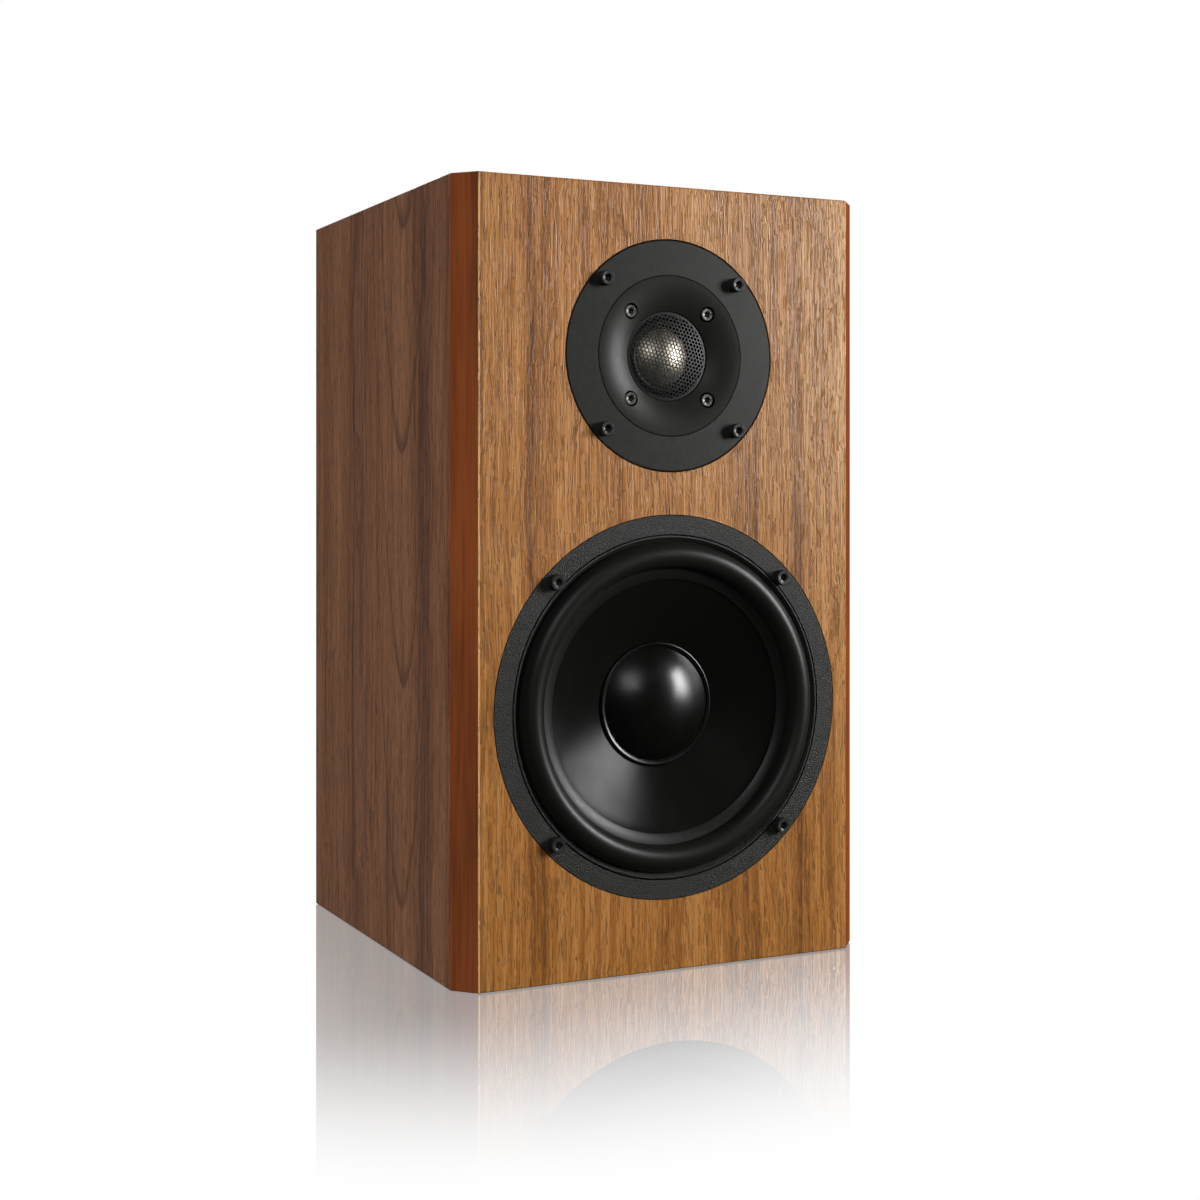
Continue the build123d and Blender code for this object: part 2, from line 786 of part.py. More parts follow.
# ================================================================ tweeter
with BuildPart() as tweeter_faceplate:
    with BuildSketch(section(tweeter_height)):
        with BuildLine():
            Polyline(
                (waveguide_radius + 0.15, 0),
                (tweeter_radius - 0.5, 0),
                (tweeter_radius, 0.5),
                (tweeter_radius, tweeter_flange),
                (waveguide_body + 0.15, tweeter_flange),
                (waveguide_body + 0.15, waveguide_seat),
                (waveguide_radius + 0.15, waveguide_seat),
                close=True,
            )
        make_face()
    revolve(axis=axis(tweeter_height))
    with BuildSketch(facing(tweeter_height)):
        with PolarLocations(tweeter_screw_circle, 4, start_angle=45):
            Circle(cap_shank_radius + hole_clearance)
    extrude(amount=-tweeter_flange, mode=Mode.SUBTRACT)
tweeter_faceplate.part.label = "tweeter_faceplate"
export_step(tweeter_faceplate.part, "parts/tweeter_faceplate.step")

with BuildPart() as tweeter_gasket_ring:
    with BuildSketch(facing(tweeter_height, tweeter_flange)):
        Circle(tweeter_radius)
        Circle(tweeter_cut_radius + 1.0, mode=Mode.SUBTRACT)
        with PolarLocations(tweeter_screw_circle, 4, start_angle=45):
            Circle(cap_shank_radius + hole_clearance, mode=Mode.SUBTRACT)
    extrude(amount=-tweeter_gasket)
tweeter_gasket_ring.part.label = "tweeter_gasket"
export_step(tweeter_gasket_ring.part, "parts/tweeter_gasket.step")

# The waveguide starts level with the faceplate and rolls over into the throat.
mouth_run = waveguide_radius - 0.4 - throat_radius
mouth_curve = (mouth_run**2 + throat_depth**2) / (2 * throat_depth)
mouth_middle = throat_radius + mouth_run / 2
mouth_middle_depth = mouth_curve - sqrt(mouth_curve**2 - (mouth_run / 2) ** 2)
opening_radius = throat_radius - 2.6
with BuildPart() as tweeter_waveguide:
    with BuildSketch(section(tweeter_height)):
        with BuildLine():
            ThreePointArc(
                (waveguide_radius - 0.4, 0),
                (mouth_middle, mouth_middle_depth),
                (throat_radius, throat_depth),
            )
            Polyline(
                (throat_radius, throat_depth),
                (throat_radius, mesh_seat),
                (opening_radius, mesh_seat),
                (opening_radius, waveguide_back),
                (waveguide_body, waveguide_back),
                (waveguide_body, waveguide_seat),
                (waveguide_radius, waveguide_seat),
                (waveguide_radius, 0.3),
                (waveguide_radius - 0.4, 0),
            )
        make_face()
    revolve(axis=axis(tweeter_height))
    with BuildSketch(facing(tweeter_height)):
        with PolarLocations(waveguide_screw_circle, 4, start_angle=45):
            Circle(small_counterbore)
    extrude(amount=-mesh_seat, mode=Mode.SUBTRACT)
    with BuildSketch(facing(tweeter_height)):
        with PolarLocations(waveguide_screw_circle, 4, start_angle=45):
            Circle(small_shank_radius + hole_clearance)
    extrude(amount=-waveguide_back, mode=Mode.SUBTRACT)
tweeter_waveguide.part.label = "tweeter_waveguide"
export_step(tweeter_waveguide.part, "parts/tweeter_waveguide.step")

# The mesh is a shallow dome with a flat rim that drops into the throat.
mesh_radius = throat_radius - 0.15
mesh_foot = mesh_radius - 1.0
mesh_curve = (mesh_foot**2 + mesh_rise**2) / (2 * mesh_rise)
mesh_half = mesh_foot / 2
mesh_front = mesh_seat - mesh_wall
with BuildPart() as tweeter_mesh:
    with BuildSketch(section(tweeter_height)):
        with BuildLine():
            Polyline(
                (mesh_foot, mesh_front),
                (mesh_radius, mesh_front),
                (mesh_radius, mesh_seat),
                (mesh_foot, mesh_seat),
            )
            ThreePointArc(
                (mesh_foot, mesh_seat),
                (mesh_half, cap_depth(mesh_half, mesh_seat - mesh_rise, mesh_curve)),
                (0, mesh_seat - mesh_rise),
            )
            Line((0, mesh_seat - mesh_rise), (0, mesh_front - mesh_rise))
            ThreePointArc(
                (0, mesh_front - mesh_rise),
                (mesh_half, cap_depth(mesh_half, mesh_front - mesh_rise, mesh_curve)),
                (mesh_foot, mesh_front),
            )
        make_face()
    revolve(axis=axis(tweeter_height))
tweeter_mesh.part.label = "tweeter_mesh"
export_step(tweeter_mesh.part, "parts/tweeter_mesh.step")

tweeter_curve = (dome_radius**2 + dome_rise**2) / (2 * dome_rise)
tweeter_apex = dome_base - dome_rise
dome_middle = dome_radius / 2
dome_inside = dome_radius - dome_wall
inside_apex = tweeter_apex + dome_wall
inside_curve = tweeter_curve - dome_wall
with BuildPart() as tweeter_dome:
    with BuildSketch(section(tweeter_height)):
        with BuildLine():
            ThreePointArc(
                (0, tweeter_apex),
                (dome_middle, cap_depth(dome_middle, tweeter_apex, tweeter_curve)),
                (dome_radius, dome_base),
            )
            Polyline(
                (dome_radius, dome_base),
                (dome_radius, dome_base + dome_wall),
                (dome_inside, dome_base + dome_wall),
                (dome_inside, cap_depth(dome_inside, inside_apex, inside_curve)),
            )
            ThreePointArc(
                (dome_inside, cap_depth(dome_inside, inside_apex, inside_curve)),
                (dome_middle, cap_depth(dome_middle, inside_apex, inside_curve)),
                (0, inside_apex),
            )
            Line((0, inside_apex), (0, tweeter_apex))
        make_face()
    revolve(axis=axis(tweeter_height))
tweeter_dome.part.label = "tweeter_dome"
export_step(tweeter_dome.part, "parts/tweeter_dome.step")

# Tweeter coil: a thin former with its winding, hung from the edge of the dome.
tweeter_plate_front = waveguide_back
tweeter_plate_back = tweeter_plate_front + tweeter_plate
coil_front = dome_base + dome_wall
coil_back = tweeter_plate_back + 1.0
with BuildPart() as tweeter_voice_coil:
    with BuildSketch(section(tweeter_height)):
        with BuildLine():
            Polyline(
                (dome_radius - tweeter_former_wall, coil_front),
                (dome_radius, coil_front),
                (dome_radius, coil_front + 2.0),
                (dome_radius + tweeter_winding, coil_front + 2.0),
                (dome_radius + tweeter_winding, coil_back),
                (dome_radius - tweeter_former_wall, coil_back),
                close=True,
            )
        make_face()
    revolve(axis=axis(tweeter_height))
tweeter_voice_coil.part.label = "tweeter_voice_coil"
export_step(tweeter_voice_coil.part, "parts/tweeter_voice_coil.step")

# Its surround: a small roll with a flat flange clamped between waveguide and front plate.
roll_outer = opening_radius - 0.6
roll_inner = dome_radius + 0.8
clamp_outer = opening_radius + 1.8
clamp_back = waveguide_back + tweeter_clamp
with BuildPart() as tweeter_surround:
    with BuildSketch(section(tweeter_height)):
        with BuildLine():
            Polyline(
                (roll_outer, waveguide_back),
                (clamp_outer, waveguide_back),
                (clamp_outer, clamp_back),
                (roll_outer - 0.3, clamp_back),
            )
            ThreePointArc(
                (roll_outer - 0.3, clamp_back),
                ((roll_outer + roll_inner) / 2, waveguide_back - tweeter_roll_rise + 0.4),
                (roll_inner + 0.3, clamp_back),
            )
            Polyline(
                (roll_inner + 0.3, clamp_back),
                (roll_inner, dome_base + 0.5),
                (dome_radius, dome_base + 0.5),
                (dome_radius, dome_base),
                (roll_inner, waveguide_back),
            )
            ThreePointArc(
                (roll_inner, waveguide_back),
                ((roll_outer + roll_inner) / 2, waveguide_back - tweeter_roll_rise),
                (roll_outer, waveguide_back),
            )
        make_face()
    revolve(axis=axis(tweeter_height))
tweeter_surround.part.label = "tweeter_surround"
export_step(tweeter_surround.part, "parts/tweeter_surround.step")

# Front plate, recessed round its bore for the clamped flange and the moving roll.
plate_bore = dome_radius + tweeter_winding + tweeter_gap
plate_step = tweeter_plate_front + tweeter_plate_step
with BuildPart() as tweeter_front_plate:
    with BuildSketch(section(tweeter_height)):
        with BuildLine():
            Polyline(
                (tweeter_plate_radius, tweeter_plate_front),
                (tweeter_plate_radius, tweeter_plate_back),
                (plate_bore, tweeter_plate_back),
                (plate_bore, plate_step),
                (roll_outer, plate_step),
                (roll_outer, clamp_back),
                (clamp_outer + 0.1, clamp_back),
                (clamp_outer + 0.1, tweeter_plate_front),
                close=True,
            )
        make_face()
    revolve(axis=axis(tweeter_height))
    with BuildSketch(facing(tweeter_height, tweeter_plate_front)):
        with PolarLocations(waveguide_screw_circle, 4, start_angle=45):
            Circle(small_shank_radius)
    extrude(amount=-tweeter_plate, mode=Mode.SUBTRACT)
tweeter_front_plate.part.label = "tweeter_front_plate"
export_step(tweeter_front_plate.part, "parts/tweeter_front_plate.step")

tweeter_yoke_front = tweeter_plate_back + tweeter_magnet
with BuildPart() as tweeter_magnet_ring:
    with BuildSketch(facing(tweeter_height, tweeter_plate_back)):
        Circle(tweeter_magnet_radius)
        Circle(plate_bore + 3.5, mode=Mode.SUBTRACT)
    extrude(amount=-tweeter_magnet)
tweeter_magnet_ring.part.label = "tweeter_magnet"
export_step(tweeter_magnet_ring.part, "parts/tweeter_magnet.step")

tweeter_pole = dome_radius - tweeter_former_wall - tweeter_gap
tweeter_yoke_back = tweeter_yoke_front + tweeter_yoke
tweeter_vent = 3.0
with BuildPart() as tweeter_yoke_plate:
    with BuildSketch(section(tweeter_height)):
        with BuildLine():
            Polyline(
                (tweeter_vent, plate_step),
                (tweeter_pole, plate_step),
                (tweeter_pole, tweeter_yoke_front),
                (tweeter_plate_radius, tweeter_yoke_front),
                (tweeter_plate_radius, tweeter_yoke_back),
                (tweeter_vent, tweeter_yoke_back),
                close=True,
            )
        make_face()
    revolve(axis=axis(tweeter_height))
tweeter_yoke_plate.part.label = "tweeter_yoke"
export_step(tweeter_yoke_plate.part, "parts/tweeter_yoke.step")

chamber_back = tweeter_yoke_back + chamber_depth
with BuildPart() as tweeter_chamber:
    with BuildSketch(section(tweeter_height)):
        with BuildLine():
            Polyline(
                (0, chamber_back - chamber_wall),
                (chamber_radius - chamber_side, chamber_back - chamber_wall),
                (chamber_radius - chamber_side, tweeter_yoke_back),
                (chamber_radius, tweeter_yoke_back),
                (chamber_radius, chamber_back - chamber_bevel),
                (chamber_radius - chamber_bevel, chamber_back),
                (0, chamber_back),
                close=True,
            )
        make_face()
    revolve(axis=axis(tweeter_height))
tweeter_chamber.part.label = "tweeter_rear_chamber"
export_step(tweeter_chamber.part, "parts/tweeter_rear_chamber.step")

with BuildPart() as tweeter_terminals:
    with BuildSketch(facing(tweeter_height, chamber_back)):
        Rectangle(tweeter_strip_width, tweeter_strip_height)
    extrude(amount=-board_thickness)
    with BuildSketch(facing(tweeter_height, chamber_back + board_thickness)):
        with Locations((-tab_x, 0), (tab_x, 0)):
            Rectangle(tab_thickness, tab_width)
    extrude(amount=-tab_length)
tweeter_terminals.part.label = "tweeter_terminals"
export_step(tweeter_terminals.part, "parts/tweeter_terminals.step")

tweeter_screws = cap_screws(
    tweeter_height, tweeter_screw_circle, 0.0,
    cap_head_radius - 0.2, cap_head_height, cap_shank_radius, cap_shank_length, cap_socket,
)
tweeter_screws.label = "tweeter_screws"
export_step(tweeter_screws, "parts/tweeter_screws.step")

waveguide_screws = cap_screws(
    tweeter_height, waveguide_screw_circle, mesh_seat,
    small_head_radius, small_head_height + 0.4, small_shank_radius,
    tweeter_plate_back - 0.5, small_socket,
)
waveguide_screws.label = "waveguide_screws"
export_step(waveguide_screws, "parts/waveguide_screws.step")

# ================================================================ rear port
# The bore flares out to the flange. The tube ends level with the cabinet's back, and the
# flange ring is the last part of the flare.
flare_middle = port_bore + port_flare
flare_depth = port_flare - port_flange
flare_turn = asin(flare_depth / port_flare)
lip_radius = flare_middle - port_flare * cos(flare_turn)
tube_turn = flare_turn / 2
ring_turn = (flare_turn + pi / 2) / 2
with BuildPart() as port_tube:
    with BuildSketch(rear_section(port_height)):
        with BuildLine():
            Polyline(
                (lip_radius, 0),
                (port_outer, 0),
                (port_outer, port_length - port_edge),
                (port_outer - port_edge, port_length),
                (port_bore + port_edge, port_length),
                (port_bore, port_length - port_edge),
                (port_bore, flare_depth),
            )
            ThreePointArc(
                (port_bore, flare_depth),
                (flare_middle - port_flare * cos(tube_turn), flare_depth - port_flare * sin(tube_turn)),
                (lip_radius, 0),
            )
        make_face()
    revolve(axis=rear_axis(port_height))
port_tube.part.label = "port_tube"
export_step(port_tube.part, "parts/port_tube.step")

with BuildPart() as port_flange_ring:
    with BuildSketch(rear_section(port_height)):
        with BuildLine():
            Polyline(
                (lip_radius, 0),
                (port_flange_radius, 0),
                (port_flange_radius, port_edge - port_flange),
                (port_flange_radius - port_edge, -port_flange),
                (flare_middle, -port_flange),
            )
            ThreePointArc(
                (flare_middle, -port_flange),
                (flare_middle - port_flare * cos(ring_turn), flare_depth - port_flare * sin(ring_turn)),
                (lip_radius, 0),
            )
        make_face()
    revolve(axis=rear_axis(port_height))
port_flange_ring.part.label = "port_flange"
export_step(port_flange_ring.part, "parts/port_flange.step")

# ================================================================ terminal cup
with BuildPart() as terminal_cup:
    with BuildSketch(rear_facing(terminal_height)):
        RectangleRounded(cup_width, cup_height, cup_corner)
    extrude(amount=cup_flange)
    rim_edges = terminal_cup.edges().group_by(Axis.Y)[-1]
    fillet(rim_edges, radius=1.0)
    with BuildSketch(rear_facing(terminal_height)):
        RectangleRounded(cup_body_width, cup_body_height, cup_body_corner)
    extrude(amount=-(cup_recess + cup_wall))
    with BuildSketch(rear_facing(terminal_height, cup_recess)):
        RectangleRounded(cup_body_width - 2 * cup_wall, cup_body_height - 2 * cup_wall, cup_body_corner - 2)
    extrude(amount=cup_recess + cup_flange, mode=Mode.SUBTRACT)
    with BuildSketch(rear_facing(terminal_height, cup_recess)):
        with Locations((-post_pitch / 2, 0), (post_pitch / 2, 0)):
            Circle(stud_radius + hole_clearance / 4)
    extrude(amount=-cup_wall, mode=Mode.SUBTRACT)
    with BuildSketch(rear_facing(terminal_height, -cup_flange)):
        with GridLocations(2 * cup_screw_x, 2 * cup_screw_z, 2, 2):
            Circle(small_shank_radius + hole_clearance)
    extrude(amount=-cup_flange, mode=Mode.SUBTRACT)
terminal_cup.part.label = "terminal_cup"
export_step(terminal_cup.part, "parts/terminal_cup.step")

with BuildPart() as terminal_cup_screws:
    with BuildSketch(rear_facing(terminal_height, -cup_flange)):
        with GridLocations(2 * cup_screw_x, 2 * cup_screw_z, 2, 2):
            Circle(small_head_radius)
    extrude(amount=cup_screw_head)
    head_rims = terminal_cup_screws.edges().filter_by(GeomType.CIRCLE).group_by(Axis.Y)[-1]
    fillet(head_rims, radius=0.65 * cup_screw_head)
    with BuildSketch(rear_facing(terminal_height, -cup_flange)):
        with GridLocations(2 * cup_screw_x, 2 * cup_screw_z, 2, 2):
            Circle(small_shank_radius)
    extrude(amount=-(cup_flange + cup_screw_length))
    with BuildSketch(rear_facing(terminal_height, -cup_flange - cup_screw_head)):
        with GridLocations(2 * cup_screw_x, 2 * cup_screw_z, 2, 2):
            Rectangle(cup_screw_slot, cup_screw_slot_width)
            Rectangle(cup_screw_slot_width, cup_screw_slot)
    extrude(amount=-cup_screw_slot_depth, mode=Mode.SUBTRACT)
terminal_cup_screws.part.label = "terminal_cup_screws"
export_step(terminal_cup_screws.part, "parts/terminal_cup_screws.step")

# Binding posts. Depths are measured inside the cabinet's back; the stud carries a 4 mm
# socket, an insulating collar, a clamping washer and a fluted knob that screws along it.
collar_face = cup_recess - collar_thickness
knob_base = collar_face - washer_thickness
stud_end = cup_recess + stud_inside - stud_length
with BuildPart() as post_studs:
    for side in (-1, 1):
        post_x = side * post_pitch / 2
        with BuildSketch(rear_section(terminal_height, post_x)):
            with BuildLine():
                Polyline(
                    (0, cup_recess + stud_inside),
                    (stud_radius - 0.5, cup_recess + stud_inside),
                    (stud_radius, cup_recess + stud_inside - 0.5),
                    (stud_radius, stud_end + 0.4),
                    (stud_radius - 0.4, stud_end),
                    (banana_bore, stud_end),
                    (banana_bore, stud_end + banana_depth),
                    (0, stud_end + banana_depth),
                    close=True,
                )
            make_face()
        revolve(axis=rear_axis(terminal_height, post_x))
post_studs.part.label = "post_studs"
export_step(post_studs.part, "parts/post_studs.step")

for side, name in ((-1, "red"), (1, "black")):
    post_x = side * post_pitch / 2
    with BuildPart() as clamp_washer:
        with BuildSketch(rear_facing(terminal_height, collar_face)):
            with Locations((-post_x, 0)):
                Circle(washer_radius)
                Circle(stud_radius + thread_clearance, mode=Mode.SUBTRACT)
        extrude(amount=washer_thickness)
    clamp_washer.part.label = f"clamp_washer_{name}"
    export_step(clamp_washer.part, f"parts/clamp_washer_{name}.step")

    with BuildPart() as post_knob:
        with BuildSketch(rear_facing(terminal_height, knob_base)):
            with Locations((-post_x, 0)):
                Circle(knob_radius)
        extrude(amount=knob_length)
        end_rims = post_knob.edges().filter_by(GeomType.CIRCLE)
        chamfer(end_rims, length=knob_bevel)
        with BuildSketch(rear_facing(terminal_height, knob_base - knob_skirt)):
            with Locations((-post_x, 0)):
                with PolarLocations(knob_radius + knob_flute_radius / 2, knob_flutes):
                    Circle(knob_flute_radius)
        extrude(amount=knob_length, mode=Mode.SUBTRACT)
        with BuildSketch(rear_facing(terminal_height, knob_base)):
            with Locations((-post_x, 0)):
                Circle(stud_radius + thread_clearance)
        extrude(amount=knob_length, mode=Mode.SUBTRACT)
    post_knob.part.label = f"post_knob_{name}"
    export_step(post_knob.part, f"parts/post_knob_{name}.step")

with BuildPart() as post_collars:
    with BuildSketch(rear_facing(terminal_height, cup_recess)):
        with Locations((-post_pitch / 2, 0), (post_pitch / 2, 0)):
            Circle(collar_radius)
            Circle(stud_radius + hole_clearance / 4, mode=Mode.SUBTRACT)
    extrude(amount=collar_thickness)
post_collars.part.label = "post_collars"
export_step(post_collars.part, "parts/post_collars.step")

with BuildPart() as post_nuts:
    with BuildSketch(rear_facing(terminal_height, cup_recess + cup_wall)):
        with Locations((-post_pitch / 2, 0), (post_pitch / 2, 0)):
            RegularPolygon(nut_radius, 6, major_radius=False)
            Circle(stud_radius, mode=Mode.SUBTRACT)
    extrude(amount=-nut_thickness)
post_nuts.part.label = "post_nuts"
export_step(post_nuts.part, "parts/post_nuts.step")

# ================================================================ crossover
board_back = inner_back - board_back_gap
board_front = board_back - board_length
board_middle = (board_back + board_front) / 2
board_top = inner_bottom + board_lift + board_thickness
fixing_x = board_width / 2 - fixing_inset
fixing_y = board_length / 2 - fixing_inset

with BuildPart() as crossover_board:
    with BuildSketch(Plane.XY.offset(inner_bottom + board_lift)):
        with Locations((0, board_middle)):
            RectangleRounded(board_width, board_length, board_corner)
            with GridLocations(2 * fixing_x, 2 * fixing_y, 2, 2):
                Circle(small_shank_radius + hole_clearance, mode=Mode.SUBTRACT)
    extrude(amount=board_thickness)
crossover_board.part.label = "crossover_board"
export_step(crossover_board.part, "parts/crossover_board.step")

# Spacers under the board, each with the screw that holds it.
with BuildPart() as crossover_fixings:
    with BuildSketch(Plane.XY.offset(inner_bottom)):
        with Locations((0, board_middle)):
            with GridLocations(2 * fixing_x, 2 * fixing_y, 2, 2):
                Circle(fixing_radius)
    extrude(amount=board_lift)
    with BuildSketch(Plane.XY.offset(inner_bottom + board_lift)):
        with Locations((0, board_middle)):
            with GridLocations(2 * fixing_x, 2 * fixing_y, 2, 2):
                Circle(small_shank_radius)
    extrude(amount=board_thickness)
    with BuildSketch(Plane.XY.offset(board_top)):
        with Locations((0, board_middle)):
            with GridLocations(2 * fixing_x, 2 * fixing_y, 2, 2):
                Circle(small_head_radius)
    extrude(amount=fixing_head)
crossover_fixings.part.label = "crossover_fixings"
export_step(crossover_fixings.part, "parts/crossover_fixings.step")

coils = (
    (-36.0, board_back - 42.0, 20.0, 18.0),     # bass coil: x, y, radius, height
    (38.0, board_back - 60.0, 14.0, 15.0),      # treble coil
)
with BuildPart() as inductor_bobbins:
    for coil_x, coil_y, radius, height in coils:
        core = radius * bobbin_core
        with BuildSketch(Plane(origin=(coil_x, coil_y, board_top), x_dir=(1, 0, 0), z_dir=(0, -1, 0))):
            with BuildLine():
                Polyline(
                    (bobbin_bore, 0),
                    (radius, 0),
                    (radius, bobbin_flange),
                    (core, bobbin_flange),
                    (core, height - bobbin_flange),
                    (radius, height - bobbin_flange),
                    (radius, height),
                    (bobbin_bore, height),
                    close=True,
                )
            make_face()
        revolve(axis=Axis((coil_x, coil_y, board_top), (0, 0, 1)))
inductor_bobbins.part.label = "inductor_bobbins"
export_step(inductor_bobbins.part, "parts/inductor_bobbins.step")

with BuildPart() as inductor_windings:
    for coil_x, coil_y, radius, height in coils:
        with BuildSketch(Plane.XY.offset(board_top + bobbin_flange)):
            with Locations((coil_x, coil_y)):
                Circle(radius - 1.2)
                Circle(radius * bobbin_core, mode=Mode.SUBTRACT)
        extrude(amount=height - 2 * bobbin_flange)
inductor_windings.part.label = "inductor_windings"
export_step(inductor_windings.part, "parts/inductor_windings.step")

capacitors = (
    (36.0, board_back - 18.0, 9.0, 36.0),       # x, y, radius, length
    (-34.0, board_back - 9.0, 7.0, 30.0),
)
with BuildPart() as crossover_capacitors:
    for can_x, can_y, radius, length in capacitors:
        can_plane = Plane(
            origin=(can_x - length / 2, can_y, board_top + radius), x_dir=(0, 1, 0), z_dir=(1, 0, 0)
        )
        with BuildSketch(can_plane):
            Circle(radius)
        extrude(amount=length)
crossover_capacitors.part.label = "crossover_capacitors"
export_step(crossover_capacitors.part, "parts/crossover_capacitors.step")

with BuildPart() as crossover_resistors:
    with BuildSketch(Plane.XY.offset(board_top)):
        with Locations((11.0, board_back - 66.0), (-9.0, board_back - 66.0)):
            RectangleRounded(resistor_width, resistor_length, 1)
    extrude(amount=resistor_width)
crossover_resistors.part.label = "crossover_resistors"
export_step(crossover_resistors.part, "parts/crossover_resistors.step")

# ================================================================ inside wiring
post_end = cup_floor - stud_inside


input_routes = [
    [
        (side * post_pitch / 2, post_end, terminal_height),
        (side * post_pitch / 2, post_end - 15.0, terminal_height),
        (side * 13.0, post_end - 21.0, terminal_height - 25.0),
        (side * 13.0, post_end - 21.0, board_top),
    ]
    for side in (-1, 1)
]

tab_end = front_y + board_seat + tab_length
woofer_routes = [
    [
        (side * tab_x, tab_end, tab_height),
        (side * tab_x, tab_end + 19.0, tab_height),
        (side * tab_x, tab_end + 49.0, tab_height - 6.0),
        (side * tab_x, board_back - 46.0, board_top + 24.0),
        (side * tab_x, board_back - 46.0, board_top),
    ]
    for side in (-1, 1)
]

tweeter_tab_end = front_y + chamber_back + board_thickness + tab_length
lead_foot = board_back - 74.0
tweeter_routes = [
    [
        (foot_x, lead_foot, board_top),
        (foot_x, lead_foot, board_top + 34.0),
        (foot_x - 6.0, lead_foot + 4.0, board_top + 78.0),
        (foot_x - 13.0, lead_foot + 2.0, board_top + 126.0),
        (foot_x - 14.0, lead_foot - 1.0, brace_bottom - 6.0),
        (foot_x - 8.0, lead_foot - 6.0, brace_bottom + brace_thickness + 10.0),
        (tab_side * tab_x - 6.0, tweeter_tab_end + 30.0, tweeter_height - 18.0),
        (tab_side * tab_x, tweeter_tab_end + 17.0, tweeter_height),
        (tab_side * tab_x, tweeter_tab_end, tweeter_height),
    ]
    for foot_x, tab_side in ((-26.0, -1), (-20.0, 1))
]

# Round insulated leads along their routes, a pair from the posts and a pair to each driver.
with BuildPart() as cabinet_leads:
    for route in input_routes + woofer_routes + tweeter_routes:
        lead_bends = bend_radii(route)
        with BuildLine() as route_line:
            FilletPolyline(*route, radius=lead_bends)
        with BuildSketch(Plane(origin=route_line.line @ 0, z_dir=route_line.line % 0)):
            Circle(lead_radius)
        sweep(path=route_line.line)
        print("lead bends", [round(bend, 1) for bend in lead_bends], "length", round(route_line.wire().length, 1))
cabinet_leads.part.label = "cabinet_leads"
export_step(cabinet_leads.part, "parts/cabinet_leads.step")
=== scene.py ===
import json
from math import atan, atan2, cos, hypot, pi, radians, sin, sqrt

import bpy
from bpy.props import FloatProperty, FloatVectorProperty, IntProperty, PointerProperty
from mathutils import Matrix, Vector
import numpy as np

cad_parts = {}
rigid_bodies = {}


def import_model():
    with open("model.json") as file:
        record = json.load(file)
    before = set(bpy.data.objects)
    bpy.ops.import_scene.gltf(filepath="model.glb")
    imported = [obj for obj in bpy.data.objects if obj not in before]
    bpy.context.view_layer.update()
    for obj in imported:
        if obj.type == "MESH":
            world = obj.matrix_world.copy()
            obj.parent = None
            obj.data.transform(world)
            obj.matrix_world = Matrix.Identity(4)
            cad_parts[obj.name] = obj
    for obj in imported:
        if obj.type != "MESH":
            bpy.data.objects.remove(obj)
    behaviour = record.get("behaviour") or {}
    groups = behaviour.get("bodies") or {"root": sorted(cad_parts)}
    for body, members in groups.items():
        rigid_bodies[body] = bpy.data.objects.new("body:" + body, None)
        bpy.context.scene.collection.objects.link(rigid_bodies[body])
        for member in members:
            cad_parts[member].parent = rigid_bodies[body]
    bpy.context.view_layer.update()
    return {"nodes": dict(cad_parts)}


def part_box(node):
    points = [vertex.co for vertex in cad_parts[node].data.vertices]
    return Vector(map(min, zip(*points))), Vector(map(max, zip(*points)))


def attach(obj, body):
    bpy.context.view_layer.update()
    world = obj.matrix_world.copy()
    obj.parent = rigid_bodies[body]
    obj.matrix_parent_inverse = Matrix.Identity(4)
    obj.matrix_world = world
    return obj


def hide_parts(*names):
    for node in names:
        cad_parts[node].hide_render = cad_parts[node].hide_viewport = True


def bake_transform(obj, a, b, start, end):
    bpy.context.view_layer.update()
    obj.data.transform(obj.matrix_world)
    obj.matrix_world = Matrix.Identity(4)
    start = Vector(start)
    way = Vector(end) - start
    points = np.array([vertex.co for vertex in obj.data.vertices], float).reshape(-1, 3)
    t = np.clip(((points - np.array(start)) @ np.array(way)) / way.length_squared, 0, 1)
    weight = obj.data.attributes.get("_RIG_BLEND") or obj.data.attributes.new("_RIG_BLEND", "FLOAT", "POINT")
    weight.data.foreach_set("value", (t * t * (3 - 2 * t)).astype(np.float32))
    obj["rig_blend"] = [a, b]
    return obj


bl_info = {
    "name": "Bookshelf Speaker",
    "version": (1, 0, 0),
    "blender": (4, 5, 0),
    "location": "View3D > Sidebar > Speaker",
    "description": "Finishes and models the pieces of a two-way bookshelf speaker",
    "category": "Object",
}

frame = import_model()
MM = 0.001


def middle(node):
    """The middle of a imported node's box."""
    low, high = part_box(node)
    return (low + high) / 2


def reach(node):
    """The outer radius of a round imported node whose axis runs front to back."""
    low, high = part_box(node)
    return (high.x - low.x) / 2


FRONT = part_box("front_baffle")[0].y
WOOFER = middle("woofer_trim_ring")
TWEETER = middle("tweeter_faceplate")
HALF_WIDTH = reach("side_panel_left") + abs(middle("side_panel_left").x)
STRIP = HALF_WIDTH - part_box("front_baffle")[1].x


